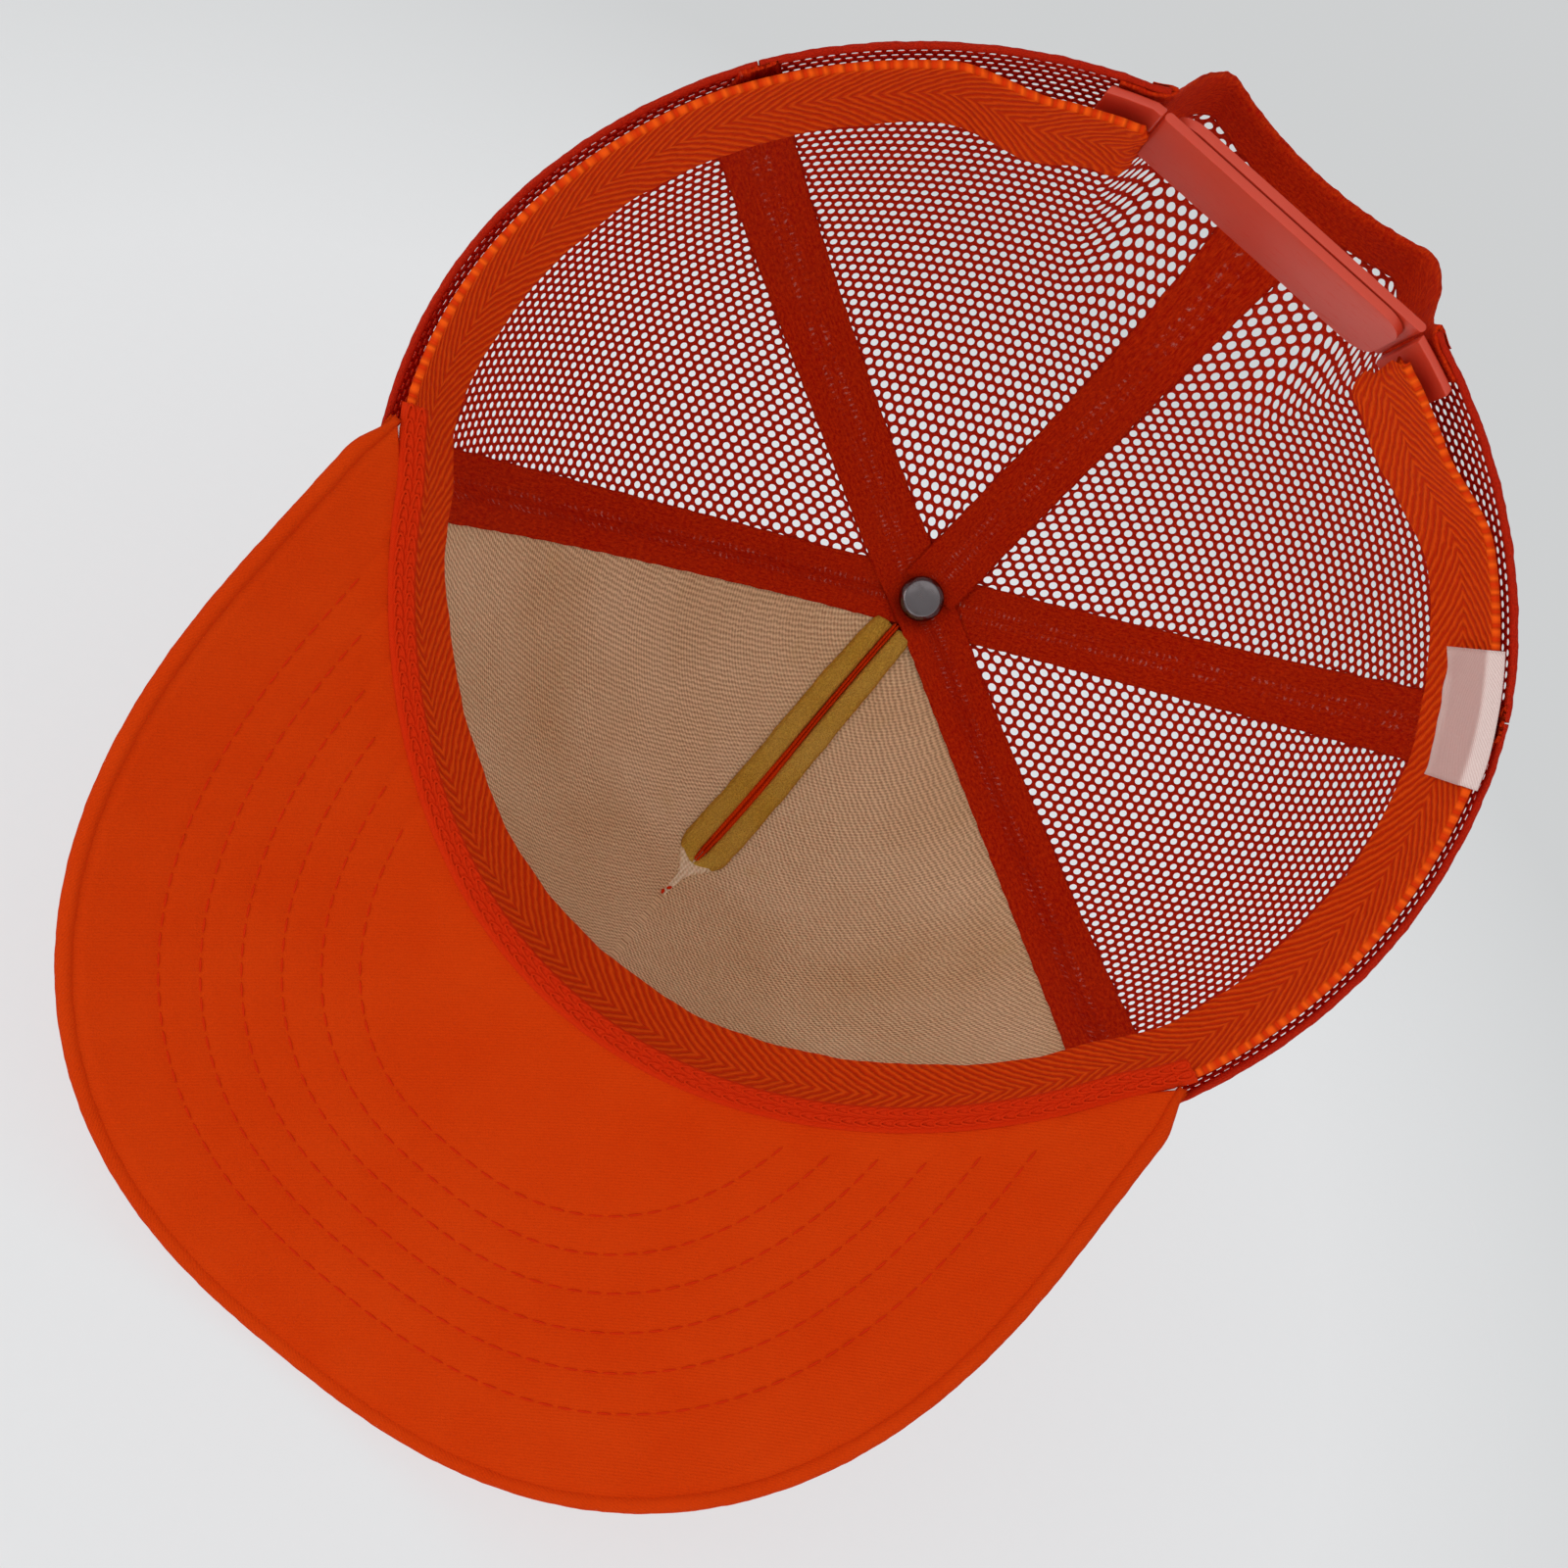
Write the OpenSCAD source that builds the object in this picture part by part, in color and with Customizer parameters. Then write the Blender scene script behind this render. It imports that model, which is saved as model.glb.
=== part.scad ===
// Trucker mesh cap: foam-backed front panel, four mesh gores, taped seams,
// arched visor, snap strap over a rear opening and a covered top button.
// Units are millimetres. Z up as worn, front towards -Y, wearer's left is +X.
// Z = 0 is the table the rear rim and the visor's drooping sides rest on.

/* [Crown] */

// Mean outer radius of the crown at its rim
rim_r = 93.9; // [85:0.1:102]
// Height of the crown's top above the table
crown_h = 127.5; // [112:1:142]
// Squareness of the crown's rear profile, 2 is an ellipse
crown_pow = 1.93; // [1.7:0.01:2.6]
// How much longer than a circle the rim is towards the front
rim_long = 2.0; // [0:0.1:5]
// Three-cornered unevenness of the soft rim
rim_three = 0.9; // [0:0.05:2]
// Four-cornered unevenness of the soft rim
rim_four = 0.85; // [0:0.05:2]
// Extra squareness of the foam-backed front
front_full = 0.5; // [0:0.05:1]
// How far the top sits behind the centre of the rim
top_back = 15.5; // [0:0.5:26]
// How far the top sits to the wearer's right of the rim's centre
top_side = 4; // [0:0.5:8]
// Sideways lean of the soft rear towards the wearer's right
rear_sway = 5; // [0:0.5:9]
// Outward bulge of the mesh over the rear opening
rear_bulge = 18; // [0:0.5:24]
// Angle of the front panel's seams, from straight ahead
seam_front = 62.8; // [56:0.1:68]
// Angle of the side seams, from straight ahead
seam_side = 119.6; // [114:0.1:126]

/* [Front panel] */

// Thickness of the front panel's face cloth
face_t = 0.6; // [0.4:0.05:1]
// Thickness of the front panel's foam
foam_t = 2.6; // [1.2:0.1:3]
// Thickness of the knitted lining
lining_t = 0.6; // [0.4:0.05:1]
// Width of each foam edge beside the centre dart
dart_w = 5.5; // [3.5:0.1:6]
// Thickness of the foam edges beside the dart
dart_t = 2.0; // [1.2:0.1:3]

/* [Mesh and tapes] */

// Thickness of the knitted mesh
mesh_t = 0.9; // [0.6:0.05:1.2]
// Width of the seam tapes
tape_w = 13.6; // [10:0.1:16]
// Thickness of the seam tapes
tape_t = 0.75; // [0.5:0.05:1.2]

/* [Sweatband] */

// Height of the sweatband
band_h = 30; // [24:0.5:36]
// Thickness of the sweatband
band_t = 1.4; // [0.8:0.1:2]
// How far the sweatband's top leans in from the wall at the front
band_lean = 1.3; // [0:0.1:4]
// Angle where the sweatband ends beside the rear opening
band_end = 160.5; // [150:0.5:161]
// Width of the stitched braid along the sweatband's front edge
braid_w = 3.7; // [2.5:0.1:5]

/* [Visor] */

// Half the visor's greatest width
visor_half = 87.7; // [80:0.1:95]
// Forward reach of the visor's tip from the crown's centre
visor_tip = 165.5; // [155:0.5:180]
// Forward position of the visor's widest line
visor_wide = 64; // [55:1:80]
// Squareness of the visor's outline
visor_pow = 2.4; // [2:0.01:2.8]
// Height of the visor's arch across its width
visor_arch = 30; // [10:0.5:40]
// Downward slope of the visor per millimetre forward
visor_slope = 0.12; // [0:0.01:0.3]
// Height of the visor's middle line at the crown
visor_z = 30.55; // [20:0.1:40]
// Thickness of the stiff board inside the visor
board_t = 1.7; // [1:0.1:3]
// Thickness of each visor cover
cover_t = 0.6; // [0.4:0.05:1]
// Radius of the rolled edge round the visor
roll_r = 1.5; // [1:0.1:2]

/* [Snap strap] */

// Height of each strap
strap_h = 20; // [15:0.5:25]
// Thickness of each strap
strap_t = 1.6; // [1.2:0.1:2.4]
// Distance from the centre to each strap's flex line
strap_hinge = 26.6; // [22:0.1:32]
// Position of the outer strap's outer face
strap_y = 86.4; // [80:0.1:92]
// Gap between the two straps
strap_gap = 0.35; // [0.2:0.05:0.6]
// Spacing of the snap pegs
peg_pitch = 8.4; // [7:0.1:10]
// Radius of each snap peg
peg_r = 2.0; // [1.5:0.05:2.5]
// Radius of each snap hole
hole_r = 2.55; // [2:0.05:3.2]
// Half angle of the rear opening at the rim
arch_half = 18.5; // [15:0.5:24]
// Height of the rear opening
arch_h = 42; // [34:0.5:60]

/* [Top button] */

// Radius of the cloth-covered button
button_r = 7.6; // [6:0.1:10]
// Height of the button's dome
button_h = 4.4; // [3:0.1:6]
// Radius of the metal rivet cap inside
rivet_r = 4.95; // [4:0.05:7]

/* [Label] */

// Thickness of the folded label
label_t = 0.5; // [0.2:0.05:1]
// Height of the label's folded top edge
label_top = 19; // [12:0.5:26]
// Angle where the label begins
label_a0 = -127; // [-150:1:-120]
// Angle the label spans
label_span = 15; // [8:1:20]

/* [Hidden] */

cloth_color = [0.87, 0.19, 0.03];
mesh_color = [0.55, 0.04, 0.03];
tape_color = [0.68, 0.05, 0.02];
lining_color = [0.76, 0.66, 0.52];
foam_color = [0.72, 0.52, 0.16];
board_color = [0.85, 0.84, 0.80];
strap_color = [0.88, 0.22, 0.06];
metal_color = [0.70, 0.70, 0.71];
label_color = [0.94, 0.84, 0.82];

gap = 0.15;
soft_gap = 0.75;
tape_lift = tape_t + 2 * gap;
arch_span = 87.5;
bend = visor_arch / (arch_span * arch_span);
foam_out = face_t + gap;
foam_in = foam_out + foam_t;
lining_out = foam_in + gap;
lining_in = lining_out + lining_t;
visor_half_t = board_t / 2 + gap / 2 + cover_t;
layer_t = 0.96;
foam_v = 0.84;
top_t = 0.984;
tape_t0 = 0.012;
swell_fade = 0.7;
cols = 12;
rows = 14;
rear_rows = 22;

// Smooth step from 0 to 1.
function sstep(v) = let (s = min(1, max(0, v))) s * s * (3 - 2 * s);

// Departure of the rim from a circle at angle a from straight ahead.
function rim_swell(a) = rim_long * cos(a) + rim_three * cos(3 * a) + rim_four * cos(4 * a);

// Outer radius of the rim at angle a.
function rim_at(a) = rim_r + rim_swell(a);

// Middle height of the visor at plan position x, y.
function visor_at(x, y) = visor_z - bend * x * x - visor_slope * (-y - 92);

// Height of the rim at angle a and depth d: it rides over the visor, then falls to the table.
function rim_z(a, d) =
  let (r = rim_at(a) - d)
  (visor_at(r * sin(a), -r * cos(a)) + visor_half_t + 0.35) * sstep((124 - abs(a)) / 56);

// Outward bulge behind the rear opening.
function bulge(a, z) =
  rear_bulge * (1 - sstep((168 - abs(a)) / 9))
  * (0.15 + 0.85 * sstep(z / 22)) * (1 - sstep((z - 42) / 50));

// Squareness of the crown's profile at angle a.
function pow_at(a) = crown_pow + front_full * (0.5 + 0.5 * cos(a));

// Sideways lean of the crown at plan position y.
function sway_at(y) = -rear_sway * sstep((y + 30) / 110);

// Crown point at angle a, climb t from rim (0) to top (1), and depth d inwards.
function crown(a, t, d) =
  let (
    f = 90 * t,
    rho = pow(cos(f), 2 / pow_at(a)),
    h = pow(sin(f), 2 / pow_at(a)),
    z0 = rim_z(a, d),
    z = z0 + (crown_h - d - z0) * h,
    r = (rim_r + rim_swell(a) * (1 - swell_fade * h) - d) * rho + bulge(a, z),
    y = -r * cos(a) + top_back * h
  )
  [r * sin(a) + sway_at(y) - top_side * h, y, z];

// Climb that brings the crown at angle a up to height z.
function climb(a, z, d) =
  let (
    z0 = rim_z(a, d),
    h = min(1, max(0, (z - z0) / (crown_h - d - z0)))
  )
  asin(pow(h, pow_at(a) / 2)) / 90;

// Wall point at angle a and height z, also below the rim's own height.
function wall(a, z, d) =
  let (p = crown(a, climb(a, z, d), d))
  [p[0], p[1], z];

// Plan radius of the crown at angle a and climb t.
function plan_r(a, t) =
  (rim_r + rim_swell(a) * (1 - swell_fade * pow(sin(90 * t), 2 / pow_at(a))))
  * pow(cos(90 * t), 2 / pow_at(a));

// Climb at which the crown's plan radius at angle a is r.
function climb_r(a, r, turns = 6, guess = 0.5) =
  let (
    rr = rim_r + rim_swell(a) * (1 - swell_fade * pow(sin(90 * guess), 2 / pow_at(a))),
    t = acos(pow(min(1, max(0, r / rr)), pow_at(a) / 2)) / 90
  )
  turns == 0 ? t : climb_r(a, r, turns - 1, t);

// Closed shell between an outer and an inner grid of points.
module skin(outer, inner) {
  n = len(outer);
  m = len(outer[0]);
  k = n * m;
  faces = concat(
    [for (i = [0:n - 2], j = [0:m - 2]) [i * m + j, i * m + j + 1, (i + 1) * m + j + 1]],
    [for (i = [0:n - 2], j = [0:m - 2]) [i * m + j, (i + 1) * m + j + 1, (i + 1) * m + j]],
    [for (i = [0:n - 2], j = [0:m - 2]) [k + i * m + j, k + (i + 1) * m + j + 1, k + i * m + j + 1]],
    [for (i = [0:n - 2], j = [0:m - 2]) [k + i * m + j, k + (i + 1) * m + j, k + (i + 1) * m + j + 1]],
    [for (j = [0:m - 2]) [j, k + j, k + j + 1]],
    [for (j = [0:m - 2]) [j, k + j + 1, j + 1]],
    [for (j = [0:m - 2]) [(n - 1) * m + j, k + (n - 1) * m + j + 1, k + (n - 1) * m + j]],
    [for (j = [0:m - 2]) [(n - 1) * m + j, (n - 1) * m + j + 1, k + (n - 1) * m + j + 1]],
    [for (i = [0:n - 2]) [i * m, k + (i + 1) * m, k + i * m]],
    [for (i = [0:n - 2]) [i * m, (i + 1) * m, k + (i + 1) * m]],
    [for (i = [0:n - 2]) [i * m + m - 1, k + i * m + m - 1, k + (i + 1) * m + m - 1]],
    [for (i = [0:n - 2]) [i * m + m - 1, k + (i + 1) * m + m - 1, (i + 1) * m + m - 1]]
  );
  polyhedron(
    points = concat([for (row = outer) each row], [for (row = inner) each row]),
    faces = faces,
    convexity = 8
  );
}

// Gore of the crown from angle a0 to a1, between depths d0 and d1.
module gore(a0, a1, d0, d1) {
  skin(
    [for (i = [0:cols]) [for (j = [0:rows]) crown(a0 + (a1 - a0) * i / cols, top_t * j / rows, d0)]],
    [for (i = [0:cols]) [for (j = [0:rows]) crown(a0 + (a1 - a0) * i / cols, top_t * j / rows, d1)]]
  );
}

// Half width, in degrees, of a front layer that stops short of its seam by s.
function front_lim(t, s) = seam_front - 0.15 - asin(min(0.9, s / max(1, plan_r(seam_front, t))));

// Front panel layer that stops s short of the side seams and at climb t1.
module front_layer(d0, d1, s, t1) {
  skin(
    [for (i = [0:28]) [for (j = [0:rows]) let (t = t1 * j / rows) crown(front_lim(t, s) * (i / 14 - 1), t, d0)]],
    [for (i = [0:28]) [for (j = [0:rows]) let (t = t1 * j / rows) crown(front_lim(t, s) * (i / 14 - 1), t, d1)]]
  );
}

module front_face() {
  color(cloth_color) front_layer(0, face_t, 0, top_t);
}

module front_foam() {
  color(foam_color) front_layer(foam_out, foam_in, 3.4, layer_t);
}

module front_lining() {
  color(lining_color) front_layer(lining_out, lining_in, 3.4, layer_t);
}

// Climb along the dart, from its top end (v = 0) to its tip (v = 1).
function dart_t_at(v) = 0.955 - 0.565 * v;

// Half width of the dart allowance along its length: nested between the tapes, rounded below.
function dart_half(v) = min(
  0.45 + (dart_w + 0.1) * (v < 0.65 ? 1 : sqrt(max(0, 1 - pow((v - 0.65) / 0.2, 2)))),
  (plan_r(0, dart_t_at(v)) * sin(seam_front) - tape_w / 2 - 0.5) / cos(seam_front)
);

// Point on the dart pad at length v, sideways s in millimetres and depth d.
function dart_pt(v, s, d) =
  let (t = dart_t_at(v), r = plan_r(0, t))
  crown(atan(s / r), t, d);

module dart_foam() {
  n = 16;
  color(foam_color)
  for (side = [-1, 1])
    skin(
      [for (i = [0:n]) [for (j = side > 0 ? [0:4] : [4:-1:0])
        dart_pt(foam_v * i / n, side * (0.5 + (dart_half(foam_v * i / n) - 0.5) * j / 4), lining_in + gap)]],
      [for (i = [0:n]) [for (j = side > 0 ? [0:4] : [4:-1:0])
        dart_pt(foam_v * i / n, side * (0.5 + (dart_half(foam_v * i / n) - 0.5) * j / 4),
          lining_in + gap + dart_t * (1 - 0.25 * pow(j / 2 - 1, 2)))]]
    );
}

module dart_fold() {
  n = 18;
  color(cloth_color)
  skin(
    [for (i = [0:n]) [for (j = [0:1]) dart_pt(i / n, (j * 2 - 1) * (0.33 - 0.1 * i / n), lining_in + gap)]],
    [for (i = [0:n]) [for (j = [0:1]) dart_pt(i / n, (j * 2 - 1) * (0.33 - 0.1 * i / n),
      lining_in + gap + dart_t * (0.9 - 0.55 * i / n))]]
  );
}

module mesh_left_side() {
  color(mesh_color) gore(seam_front + 0.15, seam_side - 0.1, 0, mesh_t);
}

module mesh_right_side() {
  color(mesh_color) gore(-seam_side + 0.1, -seam_front - 0.15, 0, mesh_t);
}

// Angle out from the rear centre of column c on a rear gore, and its lowest height.
function rear_angle(c, first) = c <= 12
  ? arch_half * sin(90 * c / 12)
  : arch_half + (first - arch_half) * (c - 12) / 12;
function rear_low(w) = w >= arch_half ? 0 : arch_h * sqrt(max(0, 1 - pow(w / arch_half, 2)));

// Rear gore with the half-moon opening cut out of its lower inner corner.
module rear_gore(side) {
  first = 180 - seam_side - 0.1;
  grid = function (d)
    [for (c = side > 0 ? [24:-1:0] : [0:24])
      let (w = max(0.1, rear_angle(c, first)), a = side * (180 - w), lo = climb(a, rear_low(rear_angle(c, first)), 0))
      [for (j = [0:rear_rows]) crown(a, lo + (top_t - lo) * j / rear_rows, d)]];
  skin(grid(0), grid(mesh_t));
}

module mesh_left_rear() {
  color(mesh_color) rear_gore(1);
}

module mesh_right_rear() {
  color(mesh_color) rear_gore(-1);
}

// Depth of a tape's outer face: it steps down from the lining onto the mesh.
function tape_depth(a, r, lift) =
  let (off = r * sin(min(90, max(-90, abs(a) - seam_front))))
  mesh_t + gap
  + (lining_in - mesh_t) * (1 - sstep((off + 2.9) / 5)) * sstep((r - 4) / 5)
  + lift * (1 - sstep((r - 15.5) / 8));

// Point on a tape running up angle a0, at climb t, sideways s, raised by lift.
function tape_pt(a0, t, s, lift, d) =
  let (
    r = plan_r(a0, t),
    k = 1 - sstep((r - 12) / 30),
    a = a0 + atan2(s, max(0.001, r)),
    q = sqrt(r * r + k * k * s * s),
    b = a > 180 ? a - 360 : (a < -180 ? a + 360 : a)
  )
  crown(b, climb_r(b, q), tape_depth(b, q, lift) + d);

// Climb of a tape's row v: rows crowd together towards the top.
function tape_climb(v, t0, t1) = t1 - (t1 - t0) * pow(1 - v, 1.5);

// Tape over the top from the rim at angle a0 to the rim opposite it.
module long_tape(a0, lift) {
  n = 22;
  far = a0 > 0 ? a0 - 180 : a0 + 180;
  grid = function (d)
    [for (i = [0:2 * n]) [for (j = [0:6])
      let (s = tape_w * (j / 6 - 0.5), t = tape_climb(min(i, 2 * n - i) / n, tape_t0, 1))
      i <= n ? tape_pt(a0, t, s, lift, d) : tape_pt(far, t, -s, lift, d)]];
  difference() {
    skin(grid(tape_t), grid(0));
    translate([top_x, top_back, crown_h - 8]) cylinder(r = 1.8, h = 9, $fn = 24);
  }
}

module tape_left_front_to_right() {
  color(tape_color) long_tape(seam_front, 0);
}

module tape_right_front_to_left() {
  color(tape_color) long_tape(-seam_front, tape_lift);
}

module tape_rear() {
  n = 18;
  t0 = climb(180, arch_h + 9.8, 0);
  t1 = climb_r(180, 2.6);
  lift = 2 * tape_lift;
  grid = function (d)
    [for (i = [0:n]) [for (j = [0:6])
      tape_pt(180, tape_climb(i / n, t0, t1), tape_w * (j / 6 - 0.5), lift, d)]];
  color(tape_color) skin(grid(tape_t), grid(0));
}

// Point on the binding round the rear opening: q runs across its width.
function arch_pt(v, q, d) =
  let (
    w = -(arch_half + 6.4 * q) * cos(180 * v),
    a = w >= 0 ? 180 - max(0.01, w) : -180 - min(-0.01, w)
  )
  wall(a, max(0.4, (arch_h + 10 * q) * sin(180 * v)), d);

module arch_binding() {
  n = 28;
  color(tape_color)
  skin(
    [for (i = [0:n]) [for (j = [0:2]) arch_pt(i / n, 0.04 + 0.8 * j / 2, mesh_t + soft_gap)]],
    [for (i = [0:n]) [for (j = [0:2]) arch_pt(i / n, 0.04 + 0.8 * j / 2, mesh_t + soft_gap + tape_t)]]
  );
}

// Lowest height of the sweatband at angle a: the visor's underside, then the rim.
function band_z(a) =
  let (r = rim_at(a) - 4.6)
  max(0.9, (visor_at(r * sin(a), -r * cos(a)) - visor_half_t) * sstep((122 - abs(a)) / 52));

// Depth of the sweatband's outer face at its foot.
function band_depth(a) =
  3.1 + 2.5 * (1 - sstep((abs(a) - 61) / 11)) + 3.9 * sstep((abs(a) - 138) / 12);

// Lean of the sweatband's top at angle a: only the front leans in.
function band_in(a) = band_lean * (1 - sstep((abs(a) - 42) / 14));

// Sweatband point at angle a, v up its height and depth d from its outer face.
function band_pt(a, v, d) =
  wall(a, band_z(a) + band_h * v, band_depth(a) + band_in(a) * v + d);

module sweatband() {
  n = 64;
  color(cloth_color)
  skin(
    [for (i = [0:n]) [for (j = [0:4]) band_pt(band_end * (2 * i / n - 1), j / 4, 0)]],
    [for (i = [0:n]) [for (j = [0:4]) band_pt(band_end * (2 * i / n - 1), j / 4, band_t)]]
  );
}

module sweatband_braid() {
  n = 30;
  grid = function (dz)
    [for (i = [0:n]) [for (j = [0:2])
      let (a = 70 * (2 * i / n - 1), p = wall(a, band_z(a), band_depth(a) + 0.1 + braid_w * j / 2))
      [p[0], p[1], band_z(a) - 0.15 - dz * (0.75 + 0.25 * (1 - pow(j - 1, 2)))]]];
  color(cloth_color)
  skin(grid(1), grid(0));
}

// Outline point of the visor for u from -1 (wearer's right) to 1, drawn in by s.
function outline(u, s) =
  let (
    f = 90 * u,
    x = (visor_half - s) * (u < 0 ? -1 : 1) * pow(abs(sin(f)), 2 / visor_pow),
    y = -visor_wide - (visor_tip - s - visor_wide) * pow(max(0, cos(f)), 2 / visor_pow)
  )
  [x, y];

// Inner edge of the visor for the same u, at depth s inside the rim.
function inner_edge(u, s) =
  let (a = 68 * u, r = rim_at(a) - s + 1.9 * sstep((abs(a) - 56) / 12))
  [r * sin(a), -r * cos(a)];

// Even spacing of the outline: more columns where it turns.
function spread(i, n) = let (u = 2 * i / n - 1) (u < 0 ? -1 : 1) * pow(abs(u), 0.97);

// Visor point at column u, v from the crown (0) to the edge (1).
function visor_pt(u, v, s0, s1, dz) =
  let (
    p = inner_edge(u, s0),
    q = outline(u, s1),
    x = p[0] + (q[0] - p[0]) * v,
    y = p[1] + (q[1] - p[1]) * v
  )
  [x, y, visor_at(x, y) + dz];

// Flat-laid visor layer between heights lo and hi about the middle surface.
module visor_layer(lo, hi, s0, s1) {
  n = 32;
  m = 8;
  skin(
    [for (i = [0:n]) [for (j = [0:m]) visor_pt(spread(i, n), j / m, s0, s1, lo)]],
    [for (i = [0:n]) [for (j = [0:m]) visor_pt(spread(i, n), j / m, s0, s1, hi)]]
  );
}

module visor_board() {
  color(board_color) visor_layer(-board_t / 2, board_t / 2, 5.35, 2 * roll_r + 1);
}

module visor_top_cover() {
  lo = board_t / 2 + gap / 2;
  color(cloth_color) visor_layer(lo, lo + cover_t, 5.35, 2 * roll_r + 0.15);
}

module visor_under_cover() {
  lo = board_t / 2 + gap / 2;
  color(cloth_color) visor_layer(-lo - cover_t, -lo, 5.35, 2 * roll_r + 0.15);
}

// Centre line of the rolled edge: up one side, round the tip, back down.
roll_end = outline(1, roll_r);
roll_root = inner_edge(1, 5.35) + [2.3, 0];
roll_lead = [for (i = [1:4]) roll_end + (roll_root - roll_end) * i / 4];
roll_path = concat(
  [for (i = [3:-1:0]) [-roll_lead[i][0], roll_lead[i][1]]],
  [for (i = [0:48]) outline(i / 24 - 1, roll_r)],
  roll_lead
);

module visor_edge_roll() {
  last = len(roll_path) - 1;
  sides = 10;
  ring = function (i)
    let (
      p = roll_path[i],
      d = roll_path[min(last, i + 1)] - roll_path[max(0, i - 1)],
      nx = -d[1] / norm(d),
      ny = d[0] / norm(d)
    )
    [for (k = [0:sides - 1])
      let (f = 360 * k / sides, r = roll_r * cos(f), x = p[0] + nx * r, y = p[1] + ny * r)
      [x, y, visor_at(p[0], p[1]) + roll_r * sin(f)]];
  pts = [for (i = [0:last]) each ring(i)];
  color(cloth_color)
  polyhedron(
    points = pts,
    faces = concat(
      [for (i = [0:last - 1], k = [0:sides - 1])
        [i * sides + k, (i + 1) * sides + k, (i + 1) * sides + (k + 1) % sides]],
      [for (i = [0:last - 1], k = [0:sides - 1])
        [i * sides + k, (i + 1) * sides + (k + 1) % sides, i * sides + (k + 1) % sides]],
      [[for (k = [0:sides - 1]) k]],
      [[for (k = [0:sides - 1]) last * sides + sides - 1 - k]]
    ),
    convexity = 8
  );
}

strap_z = 1.2;
strap_mid = strap_z + strap_h / 2;
strap_len = 2 * strap_hinge - 1.2;
peg_count = 6;
peg_first = 7.0;
inner_y = strap_y - strap_t - strap_gap;
top_x = sway_at(top_back) - top_side;

// Flat strap from its flex line at x = 0 along +X, outer face at y = 0.
module strap_blank(len) {
  r = 5;
  translate([0, -strap_t / 2, 0]) cylinder(r = strap_t / 2, h = strap_h, $fn = 24);
  translate([0, -strap_t, 0]) cube([len - r, strap_t, strap_h]);
  translate([len - r, -strap_t, r]) cube([r, strap_t, strap_h - 2 * r]);
  translate([len - r, 0, r]) rotate([90, 0, 0]) cylinder(r = r, h = strap_t, $fn = 48);
  translate([len - r, 0, strap_h - r]) rotate([90, 0, 0]) cylinder(r = r, h = strap_t, $fn = 48);
}

module strap_holes() {
  color(strap_color)
  difference() {
    translate([-strap_hinge - rear_sway, strap_y, strap_z]) strap_blank(strap_len);
    for (i = [0:peg_count - 1])
      translate([strap_hinge - rear_sway - peg_first - peg_pitch * i, strap_y + 1, strap_mid])
        rotate([90, 0, 0]) cylinder(r = hole_r, h = strap_t + 2, $fn = 32);
  }
}

module strap_pegs() {
  color(strap_color) {
    translate([strap_hinge - rear_sway, inner_y, strap_z]) mirror([1, 0, 0]) strap_blank(strap_len);
    for (i = [0:peg_count - 1])
      translate([strap_hinge - rear_sway - peg_first - peg_pitch * i, inner_y, strap_mid]) rotate([-90, 0, 0]) {
        translate([0, 0, -0.2]) cylinder(r = peg_r, h = strap_t + 0.7, $fn = 32);
        translate([0, 0, strap_t + 0.5]) cylinder(r1 = peg_r, r2 = peg_r - 0.7, h = 0.6, $fn = 32);
      }
  }
}

// Sewn root of a strap, from beside its flex line out along the wall.
module strap_tab(side, y) {
  n = 5;
  x0 = strap_hinge + strap_t / 2 + 0.25;
  grid = function (d)
    [for (i = [0:n])
      let (
        x = x0 + 9.5 * i / n,
        r = rim_at(160) - mesh_t - 2 * gap - tape_t - 0.35,
        yw = sqrt(r * r - x * x),
        yy = min(y + (yw - y) * sstep(i / n * 1.5), yw)
      )
      [for (j = [0:1]) [side * x - rear_sway, yy - d, strap_z + (side > 0 ? j : 1 - j) * strap_h]]];
  color(strap_color)
  skin(grid(0), grid(strap_t));
}

module strap_holes_tab() {
  strap_tab(-1, strap_y);
}

module strap_pegs_tab() {
  strap_tab(1, inner_y);
}

module button_cover() {
  color(cloth_color)
  translate([top_x, top_back, crown_h + 0.35])
  rotate_extrude($fn = 48)
  difference() {
    intersection() {
      scale([button_r, button_h]) circle(r = 1, $fn = 64);
      square([button_r + 1, button_h + 1]);
    }
    scale([button_r - 0.6, button_h - 0.6]) circle(r = 1, $fn = 64);
    translate([-2 * button_r, -1]) square([2 * button_r, button_h + 3]);
  }
}

module button_shell() {
  color(metal_color)
  translate([top_x, top_back, crown_h + 0.35])
  difference() {
    rotate_extrude($fn = 48)
    intersection() {
      scale([button_r - 0.75, button_h - 0.75]) circle(r = 1, $fn = 64);
      square([button_r + 1, button_h + 1]);
    }
    translate([0, 0, -1]) cylinder(r = 1.5, h = 2.6, $fn = 24);
  }
}

module button_post() {
  color(metal_color)
  translate([top_x, top_back, crown_h - 5.9]) cylinder(r = 1.45, h = 7.8, $fn = 24);
}

module rivet_cap() {
  z0 = crown_h - mesh_t - 2 * tape_lift - tape_t - 2 * gap - 0.2;
  color(metal_color)
  translate([top_x, top_back, z0 - 2.7])
  difference() {
    union() {
      cylinder(r1 = rivet_r - 1.1, r2 = rivet_r, h = 1.1, $fn = 64);
      translate([0, 0, 1.1]) cylinder(r = rivet_r, h = 1.6, $fn = 64);
    }
    translate([0, 0, 0.7]) cylinder(r = 1.5, h = 4, $fn = 24);
  }
}

// Row of the label at angle a: under the sweatband's foot, then up its inner face.
function label_row(a, d) =
  let (off = band_depth(a) + band_t + 0.45 + d, low = band_z(a) - 0.15 - d)
  [for (q = [[2.2, low], [off, low], [off, 5], [off, 12], [off, label_top]]) wall(a, q[1], q[0])];

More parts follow.
